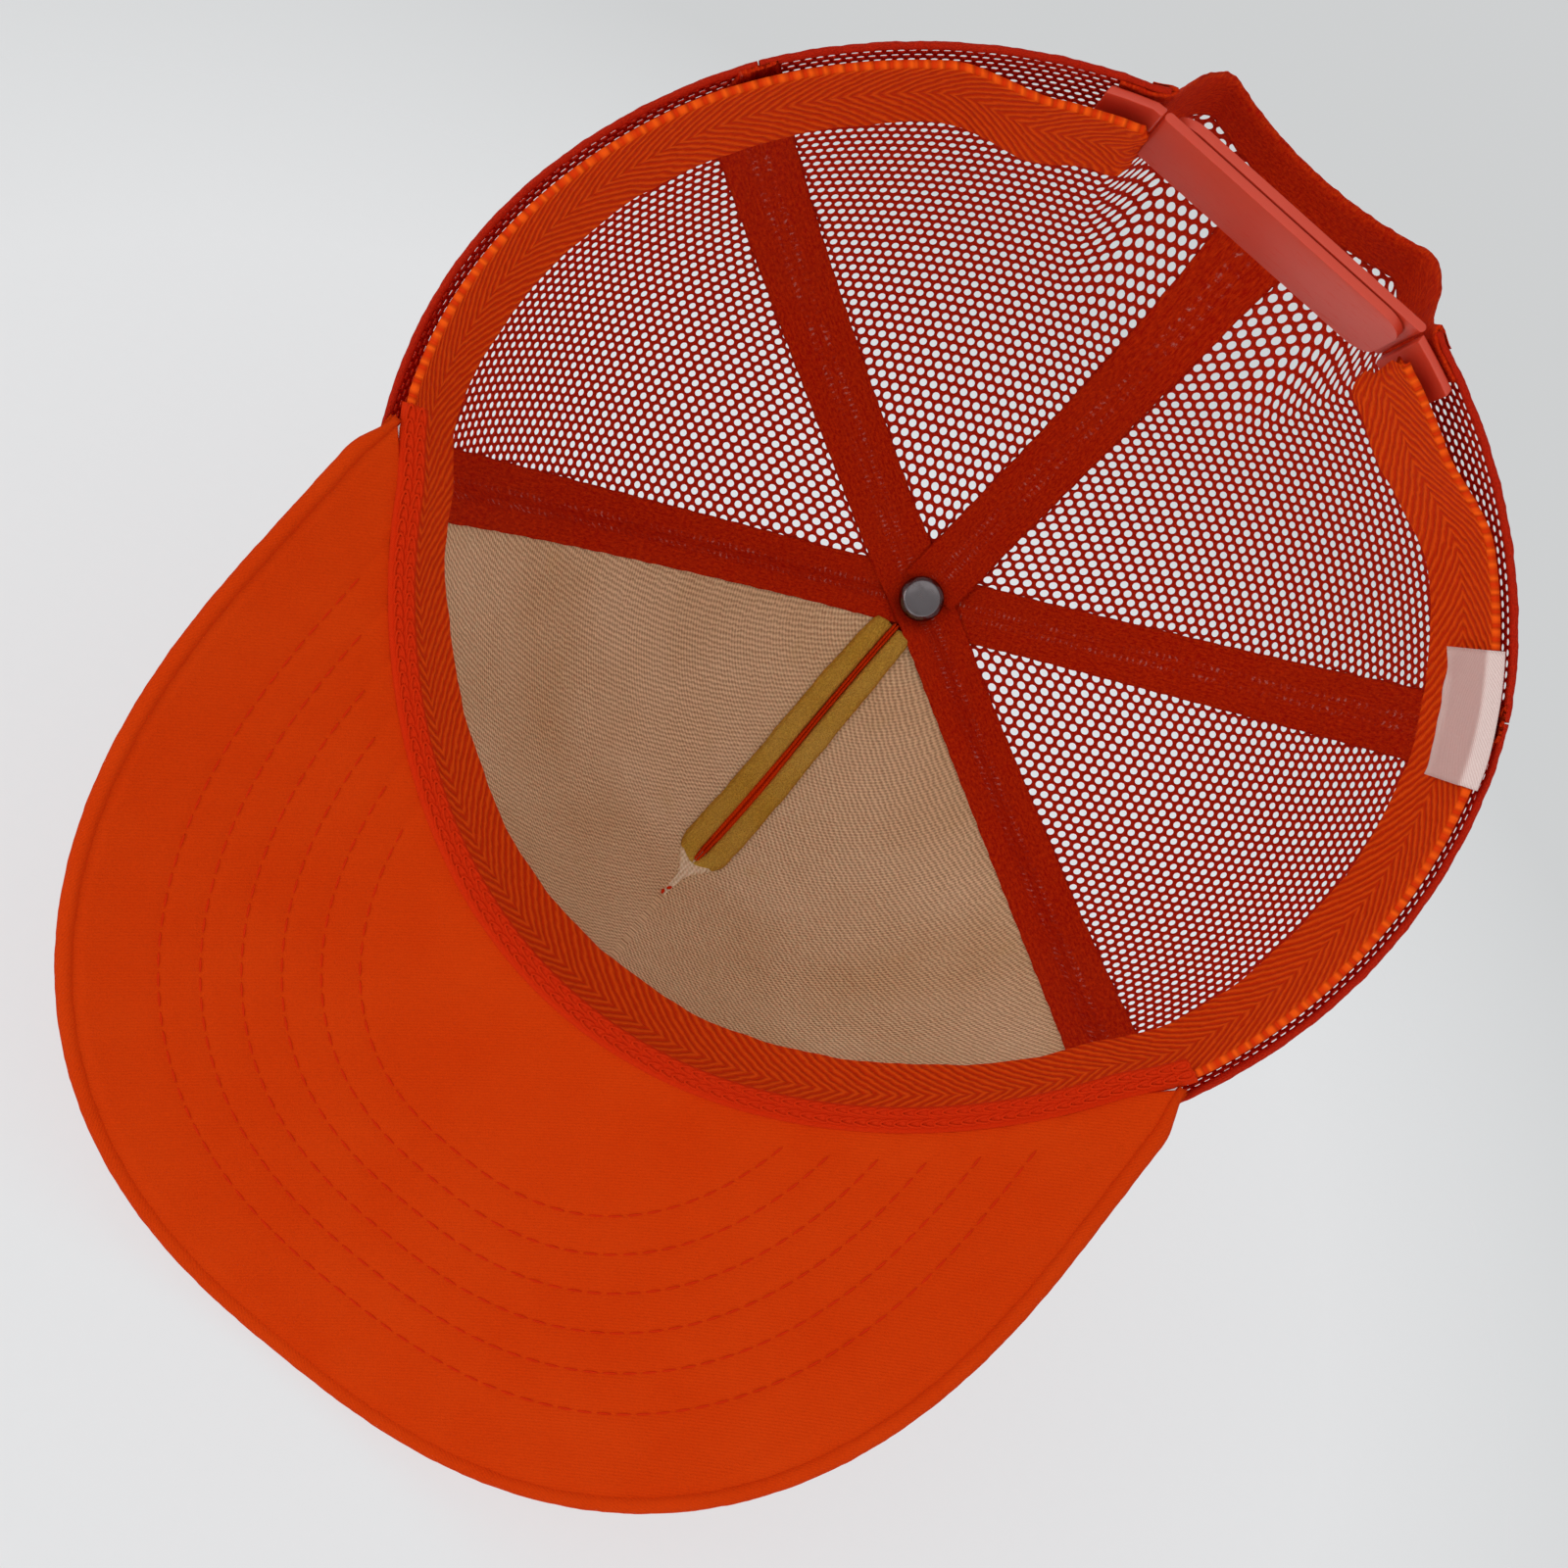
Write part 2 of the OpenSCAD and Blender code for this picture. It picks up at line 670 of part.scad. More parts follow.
module label() {
  n = 5;
  color(label_color)
  skin(
    [for (i = [0:n]) label_row(label_a0 + label_span * i / n, 0)],
    [for (i = [0:n]) label_row(label_a0 + label_span * i / n, label_t)]
  );
}

front_face();
front_foam();
front_lining();
dart_foam();
dart_fold();
mesh_left_side();
mesh_left_rear();
mesh_right_rear();
mesh_right_side();
tape_left_front_to_right();
tape_right_front_to_left();
tape_rear();
arch_binding();
sweatband();
sweatband_braid();
visor_board();
visor_top_cover();
visor_under_cover();
visor_edge_roll();
strap_pegs();
strap_pegs_tab();
strap_holes();
strap_holes_tab();
button_cover();
button_shell();
button_post();
rivet_cap();
label();
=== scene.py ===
"""Trucker mesh cap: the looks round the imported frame.

Lengths inside the classes are millimetres and angles degrees, as in the CAD part; make_piece()
turns them into metres. Angles run round the crown from straight ahead (-Y), positive towards
the wearer's left (+X).
"""

import logging
import math
from collections.abc import Callable
from dataclasses import dataclass
from enum import Enum

import bpy
import numpy as np
from mathutils import Matrix, Vector


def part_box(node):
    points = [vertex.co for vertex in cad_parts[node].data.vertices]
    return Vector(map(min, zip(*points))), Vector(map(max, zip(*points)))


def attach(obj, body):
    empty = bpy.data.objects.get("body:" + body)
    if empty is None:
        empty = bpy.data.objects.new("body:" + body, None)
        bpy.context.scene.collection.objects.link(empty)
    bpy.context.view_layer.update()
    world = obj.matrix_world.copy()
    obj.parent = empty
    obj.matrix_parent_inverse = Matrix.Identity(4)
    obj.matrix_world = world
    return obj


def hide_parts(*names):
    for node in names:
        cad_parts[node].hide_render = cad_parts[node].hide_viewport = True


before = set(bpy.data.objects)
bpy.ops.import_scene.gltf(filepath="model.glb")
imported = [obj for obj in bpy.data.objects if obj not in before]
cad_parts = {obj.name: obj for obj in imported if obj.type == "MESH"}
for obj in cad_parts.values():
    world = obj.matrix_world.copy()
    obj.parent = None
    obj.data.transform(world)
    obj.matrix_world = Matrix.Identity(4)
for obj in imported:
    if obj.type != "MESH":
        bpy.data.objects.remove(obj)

LOG = logging.getLogger("cap")
MM = 0.001
Array = np.ndarray


# ---------------------------------------------------------------- small sums


def smooth_step(v: Array) -> Array:
    """Returns 0 below 0, 1 above 1 and the cubic ease between."""
    s = np.clip(v, 0.0, 1.0)
    return s * s * (3 - 2 * s)


def sin_d(a: Array) -> Array:
    """Returns the sine of an angle in degrees."""
    return np.sin(np.radians(a))


def cos_d(a: Array) -> Array:
    """Returns the cosine of an angle in degrees."""
    return np.cos(np.radians(a))


def unit(v: Array) -> Array:
    """Returns vectors scaled to length 1 along their last axis."""
    return v / np.maximum(np.linalg.norm(v, axis=-1, keepdims=True), 1e-9)


def arc_length(path: Array) -> Array:
    """Returns the running length along a path of points."""
    steps = np.linalg.norm(np.diff(path, axis=0), axis=-1)
    return np.concatenate([[0.0], np.cumsum(steps)])


def resample(path: Array, step: float) -> Array:
    """Returns points spaced evenly along a path.

    Args:
        path: Points of the path, shape (n, 3).
        step: Wanted spacing.

    Returns:
        Points a whole number of equal steps apart, close to the wanted spacing.
    """
    run = arc_length(path)
    count = max(2, int(round(run[-1] / step)) + 1)
    want = np.linspace(0, run[-1], count)
    return np.stack([np.interp(want, run, path[:, k]) for k in range(3)], -1)


def ripple(x: Array, seed: int, length: float) -> Array:
    """Returns an uneven wave from -1 to 1: three sines whose phases come from the seed."""
    rng = np.random.default_rng(seed)
    phase = rng.uniform(0, 2 * np.pi, 3)
    k = 2 * np.pi / length
    waves = (
        0.5 * np.sin(k * x + phase[0])
        + 0.3 * np.sin(1.73 * k * x + phase[1])
        + 0.2 * np.sin(2.61 * k * x + phase[2])
    )
    return waves


# ------------------------------------------------------------------ surfaces


@dataclass
class Surface:
    """Points, faces and flat cloth coordinates, all in millimetres, before they become a mesh."""

    points: Array
    faces: list[Array]
    flat: Array

    def joined(self, *others: "Surface") -> "Surface":
        """Returns this surface and others as one, each with its faces turned outwards."""
        points, faces, flat, start = [], [], [], 0
        for s in (self.turned_out(), *(other.turned_out() for other in others)):
            points.append(s.points)
            flat.append(s.flat)
            faces += [f + start for f in s.faces]
            start += len(s.points)
        return Surface(np.concatenate(points), faces, np.concatenate(flat))

    def enclosed(self) -> float:
        """Returns six times the volume inside, by summing each face's pyramid to the origin."""
        total = 0.0
        for block in self.faces:
            corner = self.points[block]
            for k in range(1, block.shape[1] - 1):
                total += np.einsum("ij,ij->", corner[:, 0], np.cross(corner[:, k], corner[:, k + 1]))
        return total

    def turned_out(self) -> "Surface":
        """Returns the closed surface with its faces outwards: it flips them if the volume is negative."""
        if self.enclosed() >= 0:
            return self
        return Surface(self.points, [f[:, ::-1] for f in self.faces], self.flat)


def grid_quads(n: int, m: int, wrap_m: bool = False) -> Array:
    """Returns the four corners of each cell in an n by m grid of points.

    Args:
        n: Number of rows of points.
        m: Number of points in a row.
        wrap_m: True if the last point of a row joins the first.
    """
    i, j = np.meshgrid(np.arange(n - 1), np.arange(m if wrap_m else m - 1), indexing="ij")
    k = (j + 1) % m
    quads = np.stack([i * m + j, (i + 1) * m + j, (i + 1) * m + k, i * m + k], -1)
    return quads.reshape(-1, 4)


def shell(outer: Array, inner: Array, flat: Array) -> Surface:
    """Returns a closed shell between two grids: both faces and the four thin edges.

    Args:
        outer: Outward grid, (n, m, 3); rows then columns turn anticlockwise seen from outside.
        inner: Inward grid of the same shape.
        flat: Cloth coordinates of the grid, (n, m, 2).
    """
    n, m = outer.shape[:2]
    k = n * m
    top = grid_quads(n, m)
    ids = np.arange(k).reshape(n, m)
    ring = np.concatenate([ids[:-1, 0], ids[-1, :-1], ids[:0:-1, -1], ids[0, :0:-1]])
    nxt = np.roll(ring, -1)
    wall = np.stack([nxt, ring, ring + k, nxt + k], -1)
    points = np.concatenate([outer.reshape(-1, 3), inner.reshape(-1, 3)])
    flats = np.concatenate([flat.reshape(-1, 2)] * 2)
    return Surface(points, [top, top[:, ::-1] + k, wall], flats)


def tube(path: Array, across: Array, up: Array, radius: Array, sides: int = 10) -> Surface:
    """Returns a closed round tube along a path.

    Each ring is the centre plus the radius times (cosine across + sine up).

    Args:
        path: Centre points (n, 3).
        across: Sideways directions, (n, 3).
        up: Upward directions, (n, 3).
        radius: One radius or one per centre point.
        sides: Points in each ring.
    """
    n = len(path)
    f = np.linspace(0, 2 * np.pi, sides, endpoint=False)
    r = np.broadcast_to(np.asarray(radius, float), (n,))[:, None, None]
    ring = path[:, None] + r * (
        np.cos(f)[None, :, None] * across[:, None] + np.sin(f)[None, :, None] * up[:, None]
    )
    run = arc_length(path)
    flat = np.stack(np.meshgrid(run, f * float(np.mean(r)), indexing="ij"), -1)
    caps = [np.arange(sides)[None, :], (np.arange(sides)[::-1] + (n - 1) * sides)[None, :]]
    body = grid_quads(n, sides, wrap_m=True)
    return Surface(ring.reshape(-1, 3), [body, *caps], flat.reshape(-1, 2))


def beads(
    centre: Array, along: Array, normal: Array, size: tuple[float, float, float], sides: int = 6
) -> Surface:
    """Returns one small closed pod per stitch.

    Each pod is an ellipsoid of three rings and two poles, stretched along its thread.

    Args:
        centre: Middle of each stitch, (n, 3).
        along: Direction of each stitch.
        normal: Direction out of the cloth.
        size: Length, width and height of a stitch.
        sides: Points in each ring.
    """
    n = len(centre)
    t, z = unit(along), unit(normal)
    b = unit(np.cross(z, t))
    z = np.cross(t, b)
    f = np.linspace(0, 2 * np.pi, sides, endpoint=False)
    lat = np.array([-50.0, 0.0, 50.0])
    x = np.repeat(sin_d(lat), sides)
    y = np.outer(cos_d(lat), np.cos(f)).ravel()
    w = np.outer(cos_d(lat), np.sin(f)).ravel()
    form = np.stack([x, y, w], -1)
    form = np.concatenate([form, [[-1, 0, 0], [1, 0, 0]]]) * np.array(size) / 2
    points = centre[:, None] + (
        form[None, :, :1] * t[:, None] + form[None, :, 1:2] * b[:, None] + form[None, :, 2:] * z[:, None]
    )
    count = len(form)
    start = (np.arange(n) * count)[:, None, None]
    body = (grid_quads(3, sides, wrap_m=True)[None] + start).reshape(-1, 4)
    k = np.arange(sides)
    k1 = (k + 1) % sides
    low = np.stack([k, k1, np.full(sides, 3 * sides)], -1)
    high = np.stack([2 * sides + k1, 2 * sides + k, np.full(sides, 3 * sides + 1)], -1)
    tri = (np.concatenate([low, high])[None] + start).reshape(-1, 3)
    flat = np.broadcast_to(form[None, :, :2], (n, count, 2)).reshape(-1, 2)
    return Surface(points.reshape(-1, 3), [body, tri], flat.copy())


def stitch_row(
    path: Array, normal: Array, length: float, gap: float, width: float, height: float
) -> Surface:
    """Returns a running stitch along a path: pods of thread with needle holes between.

    Args:
        path: Points of the seam line, (n, 3).
        normal: Outward direction at each point.
        length: Length of thread showing in each stitch.
        gap: Space between two stitches.
        width: Width of the thread.
        height: Height of the thread.
    """
    run = arc_length(path)
    pitch = length + gap
    count = max(1, int(run[-1] / pitch))
    want = (np.arange(count) + 0.5) * run[-1] / count

    def at(values: Array, where: Array) -> Array:
        """Returns values interpolated at running lengths."""
        return np.stack([np.interp(where, run, values[:, k]) for k in range(3)], -1)

    centre = at(path, want)
    along = at(path, want + length / 2) - at(path, want - length / 2)
    return beads(centre, along, at(normal, want), (length, width, height))


def make_piece(
    name: str, surface: Surface, material: bpy.types.Material, body: str, node: str = ""
) -> bpy.types.Object:
    """Makes a smooth mesh object from a surface and hangs it on its CAD body.

    Args:
        name: Name of the piece.
        surface: The surface, in millimetres.
        material: Its finish.
        body: CAD body that it rides on.
        node: CAD node that it stands for, if any.

    Returns:
        The object, at the origin.
    """
    surface = surface.turned_out()
    faces = [row for block in surface.faces for row in block.tolist()]
    mesh = bpy.data.meshes.new(name)
    mesh.from_pydata(surface.points * MM, [], faces)
    corner = np.empty(len(mesh.loops), np.int32)
    mesh.loops.foreach_get("vertex_index", corner)
    layer = mesh.uv_layers.new(name="cloth")
    layer.data.foreach_set("uv", surface.flat[corner].astype(np.float32).ravel())
    mesh.polygons.foreach_set("use_smooth", np.ones(len(mesh.polygons), bool))
    mesh.materials.append(material)
    mesh.validate()
    mesh.update()
    obj = bpy.data.objects.new(name, mesh)
    bpy.context.scene.collection.objects.link(obj)
    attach(obj, body)
    if node:
        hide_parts(node)
    LOG.info("%s: %d faces", name, len(faces))
    return obj


def bevel(obj: bpy.types.Object, width: float, angle: float = 35.0) -> None:
    """Rounds the sharp edges of a piece.

    Args:
        obj: The piece.
        width: Width of the rounding, in millimetres.
        angle: Edges sharper than this are rounded.
    """
    mod = obj.modifiers.new("soft_edges", "BEVEL")
    mod.width = width * MM
    mod.segments = 3
    mod.limit_method = "ANGLE"
    mod.angle_limit = math.radians(angle)
    mod.harden_normals = False


# -------------------------------------------------------------- crown shape


@dataclass(frozen=True)
class CrownShape:
    """The crown's surface, by the same rules as the CAD part."""

    rim_r: float = 93.9
    height: float = 127.5
    rear_pow: float = 1.93
    rim_long: float = 2.0
    rim_three: float = 0.9
    rim_four: float = 0.85
    front_full: float = 0.5
    top_back: float = 15.5
    top_side: float = 4.0
    rear_sway: float = 5.0
    rear_bulge: float = 18.0
    seam_front: float = 62.8
    seam_side: float = 119.6
    swell_fade: float = 0.7
    visor_z: float = 30.55
    visor_bend: float = 30.0 / 87.5**2
    visor_slope: float = 0.12
    visor_half_t: float = 1.525
    arch_half: float = 18.5
    arch_h: float = 42.0
    mesh_t: float = 0.9
    lining_in: float = 4.1

    def rim_swell(self, a: Array) -> Array:
        """Departure of the rim from a circle: one long, one three- and one four-lobed wave."""
        return self.rim_long * cos_d(a) + self.rim_three * cos_d(3 * a) + self.rim_four * cos_d(4 * a)

    def rim_at(self, a: Array) -> Array:
        """Outer radius of the rim at angle a."""
        return self.rim_r + self.rim_swell(a)

    def visor_at(self, x: Array, y: Array) -> Array:
        """Middle height of the visor: a parabolic arch across it and a slope forward."""
        return self.visor_z - self.visor_bend * x * x - self.visor_slope * (-y - 92)

    def rim_z(self, a: Array, d: Array) -> Array:
        """Height of the rim: over the visor in front, easing down to the table behind."""
        r = self.rim_at(a) - d
        lift = self.visor_at(r * sin_d(a), -r * cos_d(a)) + self.visor_half_t + 0.35
        return lift * smooth_step((124 - np.abs(a)) / 56)

    def bulge(self, a: Array, z: Array) -> Array:
        """Outward bulge of the mesh over the rear opening: flat-topped, pinched at the straps."""
        across = 1 - smooth_step((168 - np.abs(a)) / 9)
        rise = (0.15 + 0.85 * smooth_step(z / 22)) * (1 - smooth_step((z - 42) / 50))
        return self.rear_bulge * across * rise

    def power(self, a: Array) -> Array:
        """Squareness of the profile: more at the front."""
        return self.rear_pow + self.front_full * (0.5 + 0.5 * cos_d(a))

    def sway(self, y: Array) -> Array:
        """Sideways lean of the soft rear."""
        return -self.rear_sway * smooth_step((y + 30) / 110)

    def crown(self, a: Array, t: Array, d: Array) -> Array:
        """Point of the crown: a superellipse profile turned round a top that sits behind centre.

        Args:
            a: Angle.
            t: Climb from the rim (0) to the top (1).
            d: Depth inwards from the outer face.
        """
        a, t, d = np.broadcast_arrays(
            np.asarray(a, float), np.asarray(t, float), np.asarray(d, float)
        )
        a = (a + 180) % 360 - 180
        p = self.power(a)
        rho = np.maximum(cos_d(90 * t), 0) ** (2 / p)
        h = np.maximum(sin_d(90 * t), 0) ** (2 / p)
        z0 = self.rim_z(a, d)
        z = z0 + (self.height - d - z0) * h
        r = (self.rim_r + self.rim_swell(a) * (1 - self.swell_fade * h) - d) * rho + self.bulge(a, z)
        y = -r * cos_d(a) + self.top_back * h
        return np.stack([r * sin_d(a) + self.sway(y) - self.top_side * h, y, z], -1)

    def climb(self, a: Array, z: Array, d: Array = 0.0) -> Array:
        """Climb that brings the crown up to height z."""
        z0 = self.rim_z(a, d)
        h = np.clip((z - z0) / (self.height - d - z0), 0, 1)
        return np.degrees(np.arcsin(h ** (self.power(a) / 2))) / 90

    def wall(self, a: Array, z: Array, d: Array) -> Array:
        """Wall point at angle a and height z, also below the rim's own height."""
        p = self.crown(a, self.climb(a, z, d), d)
        p[..., 2] = z
        return p

    def plan_r(self, a: Array, t: Array) -> Array:
        """Plan radius at angle a and climb t."""
        p = self.power(a)
        h = np.maximum(sin_d(90 * t), 0) ** (2 / p)
        swell = self.rim_swell(a) * (1 - self.swell_fade * h)
        return (self.rim_r + swell) * np.maximum(cos_d(90 * t), 0) ** (2 / p)

    def climb_r(self, a: Array, r: Array) -> Array:
        """Climb at which the plan radius is r, by six turns of a fixed point."""
        p, t = self.power(a), np.full(np.shape(a + r), 0.5)
        for _ in range(6):
            h = np.maximum(sin_d(90 * t), 0) ** (2 / p)
            full = self.rim_r + self.rim_swell(a) * (1 - self.swell_fade * h)
            t = np.degrees(np.arccos(np.clip(r / full, 0, 1) ** (p / 2))) / 90
        return t

    def normal(self, a: Array, t: Array) -> Array:
        """Outward direction of the crown's surface."""
        da, dt = 0.2, 0.002
        along = self.crown(a + da, t, 0) - self.crown(a - da, t, 0)
        t1 = np.clip(t + dt, 0, 0.999)
        t0 = np.clip(t - dt, 0.0005, 1)
        up = self.crown(a, t1, 0) - self.crown(a, t0, 0)
        return unit(np.cross(along, up))


SHAPE = CrownShape()


# ----------------------------------------------------------------- finishes

Value = bpy.types.NodeSocket | float | tuple


class Graph:
    """Short calls that add nodes to one tree."""

    def __init__(self, tree: bpy.types.NodeTree) -> None:
        """Keeps the tree to build in."""
        self.tree = tree

    def node(
        self, kind: str, inputs: dict | None = None, props: dict | None = None
    ) -> bpy.types.Node:
        """Adds a node.

        Args:
            kind: Node type without its ShaderNode prefix.
            inputs: Sockets to join or values to set, by name or number.
            props: Settings of the node itself.
        """
        made = self.tree.nodes.new("ShaderNode" + kind)
        for key, value in (props or {}).items():
            setattr(made, key, value)
        for key, value in (inputs or {}).items():
            if isinstance(value, bpy.types.NodeSocket):
                self.tree.links.new(value, made.inputs[key])
            else:
                made.inputs[key].default_value = value
        return made

    def sum(self, operation: str, a: Value, b: Value = 0.0, c: Value = 0.0) -> bpy.types.NodeSocket:
        """Returns the result of a Math node."""
        return self.node("Math", {0: a, 1: b, 2: c}, {"operation": operation}).outputs[0]

    def span(
        self, value: Value, low: float, high: float, to0: float = 0.0, to1: float = 1.0
    ) -> bpy.types.NodeSocket:
        """Returns a value moved from one range to another, held at its ends."""
        made = self.node("MapRange", {0: value, 1: low, 2: high, 3: to0, 4: to1})
        return made.outputs[0]

    def blend(self, amount: Value, a: Value, b: Value, kind: str = "MIX") -> bpy.types.NodeSocket:
        """Returns two colours mixed."""
        props = {"data_type": "RGBA", "blend_type": kind}
        return self.node("Mix", {0: amount, 6: a, 7: b}, props).outputs[2]

    def noise(
        self, vector: Value, scale: float, detail: float = 2.0, rough: float = 0.5
    ) -> bpy.types.NodeSocket:
        """Returns noise from 0 to 1."""
        inputs = {"Vector": vector, "Scale": scale, "Detail": detail, "Roughness": rough}
        return self.node("TexNoise", inputs).outputs[0]

    def stretch(
        self, vector: Value, scale: tuple[float, float, float], turn: float = 0.0
    ) -> bpy.types.NodeSocket:
        """Returns a vector turned about Z and scaled."""
        inputs = {"Vector": vector, "Rotation": (0, 0, math.radians(turn)), "Scale": scale}
        return self.node("Mapping", inputs).outputs[0]

    def waves(self, value: Value, pitch: float) -> bpy.types.NodeSocket:
        """Returns a sine wave from 0 to 1 with the given pitch."""
        wave = self.sum("SINE", self.sum("MULTIPLY", value, 2 * math.pi / pitch))
        return self.sum("MULTIPLY_ADD", wave, 0.5, 0.5)

    def split(self, vector: Value) -> list[bpy.types.NodeSocket]:
        """Returns a vector's three parts."""
        return list(self.node("SeparateXYZ", {0: vector}).outputs)


class Weave(Enum):
    """How a cloth is made."""

    TWILL = "twill"
    HERRINGBONE = "herringbone"
    RIB = "rib knit"
    TRICOT = "napped tricot"
    PEACHED = "peached twill"
    FILAMENT = "net filament"
    SPUN = "spun thread"
    FOAM = "open foam"


def weave_group(weave: Weave) -> bpy.types.NodeTree:
    """Returns the node group that draws one weave from cloth coordinates in millimetres.

    It puts out Tone and Height, both from 0 to 1. Tone rises with Height, so it is partly the weave's own pattern
    and partly painted highlight on the raised yarn and painted shade in the grooves.
    """
    name = "weave_" + weave.name.lower()
    if name in bpy.data.node_groups:
        return bpy.data.node_groups[name]
    tree = bpy.data.node_groups.new(name, "ShaderNodeTree")
    for label, way, kind in (
        ("Cloth", "INPUT", "NodeSocketVector"),
        ("Tone", "OUTPUT", "NodeSocketFloat"),
        ("Height", "OUTPUT", "NodeSocketFloat"),
    ):
        tree.interface.new_socket(label, in_out=way, socket_type=kind)
    g = Graph(tree)
    cloth = tree.nodes.new("NodeGroupInput").outputs[0]
    x, y, _ = g.split(cloth)
    fuzz = g.noise(cloth, 2.2, 3.0, 0.65)
    if weave is Weave.TWILL:
        lean = g.sum("ADD", x, y)
        lines = g.waves(g.sum("MULTIPLY_ADD", fuzz, 0.25, lean), 0.75)
        height = g.sum("MULTIPLY_ADD", lines, 0.6, g.sum("MULTIPLY", fuzz, 0.4))
    elif weave is Weave.HERRINGBONE:
        fold = g.sum("PINGPONG", y, 15.0)
        lean = g.sum("MULTIPLY_ADD", fold, 0.75, x)
        lines = g.waves(g.sum("MULTIPLY_ADD", g.noise(cloth, 0.35, 2.0), 1.6, lean), 2.3)
        fine = g.waves(g.sum("SUBTRACT", g.sum("MULTIPLY", x, 0.5), y), 0.62)
        height = g.sum("MULTIPLY_ADD", lines, 0.75, g.sum("MULTIPLY", g.sum("MULTIPLY", fine, fuzz), 0.3))
    elif weave is Weave.RIB:
        wobble = g.sum("MULTIPLY", g.noise(cloth, 0.5, 2.0), 0.9)
        ribs = g.waves(g.sum("MULTIPLY_ADD", fuzz, 0.2, g.sum("ADD", y, wobble)), 0.88)
        loops = g.waves(g.sum("ADD", g.sum("MULTIPLY", y, 0.6), x), 0.92)
        mixed = g.sum("MULTIPLY_ADD", ribs, 0.42, g.sum("MULTIPLY", loops, 0.34))
        height = g.sum("MULTIPLY_ADD", fuzz, 0.35, mixed)
    elif weave is Weave.TRICOT:
        nap = g.span(g.noise(g.stretch(cloth, (1.0, 1.8, 1.0)), 0.9, 5.0, 0.8), 0.36, 0.66)
        wales = g.waves(g.sum("MULTIPLY_ADD", fuzz, 0.5, y), 0.7)
        height = g.sum("MULTIPLY_ADD", wales, 0.1, g.sum("MULTIPLY", nap, 0.9))
    elif weave is Weave.FILAMENT:
        strands = g.waves(g.sum("ADD", x, g.sum("MULTIPLY", y, 0.8)), 0.24)
        height = g.sum("MULTIPLY_ADD", strands, 0.5, g.sum("MULTIPLY", fuzz, 0.5))
    elif weave is Weave.SPUN:
        strands = g.waves(g.sum("ADD", g.sum("MULTIPLY", x, 1.2), y), 0.3)
        height = g.sum("MULTIPLY_ADD", strands, 0.7, g.sum("MULTIPLY", fuzz, 0.3))
    elif weave is Weave.FOAM:
        cells = g.node("TexVoronoi", {"Vector": cloth, "Scale": 2.6}, {"feature": "F1"}).outputs[0]
        height = g.sum("MULTIPLY_ADD", cells, 0.6, g.sum("MULTIPLY", fuzz, 0.4))
    else:
        grain = g.noise(g.stretch(cloth, (1.0, 1.4, 1.0), 35), 3.0, 4.0, 0.7)
        lean = g.waves(g.sum("MULTIPLY_ADD", fuzz, 0.5, g.sum("ADD", x, g.sum("MULTIPLY", y, 1.3))), 0.8)
        height = g.sum("MULTIPLY_ADD", lean, 0.18, g.sum("MULTIPLY", grain, 0.85))
    out = tree.nodes.new("NodeGroupOutput")
    # Tone rises with Height: the weave's pattern plus painted highlight on raised yarn and painted shade in the
    # grooves.
    tone = g.span(g.sum("MULTIPLY_ADD", fuzz, 0.35, g.sum("MULTIPLY", height, 0.75)), 0.25, 0.85)
    tree.links.new(tone, out.inputs["Tone"])
    tree.links.new(height, out.inputs["Height"])
    return tree


def wear_group() -> bpy.types.NodeTree:
    """Returns the node group that draws slow blotches and rubbed flecks over any cloth."""
    name = "cloth_wear"
    if name in bpy.data.node_groups:
        return bpy.data.node_groups[name]
    tree = bpy.data.node_groups.new(name, "ShaderNodeTree")
    for label, way, kind in (
        ("Cloth", "INPUT", "NodeSocketVector"),
        ("Blotch", "OUTPUT", "NodeSocketFloat"),
        ("Fleck", "OUTPUT", "NodeSocketFloat"),
    ):
        tree.interface.new_socket(label, in_out=way, socket_type=kind)
    g = Graph(tree)
    cloth = tree.nodes.new("NodeGroupInput").outputs[0]
    out = tree.nodes.new("NodeGroupOutput")
    tree.links.new(g.span(g.noise(cloth, 0.045, 3.0, 0.6), 0.3, 0.7), out.inputs["Blotch"])
    fleck = g.span(g.noise(cloth, 1.6, 3.0, 0.7), 0.6, 0.74)
    tree.links.new(fleck, out.inputs["Fleck"])
    return tree


# Finishes made so far by name; the CAD's own plain materials are never taken for them.
BUILT: dict[str, bpy.types.Material] = {}


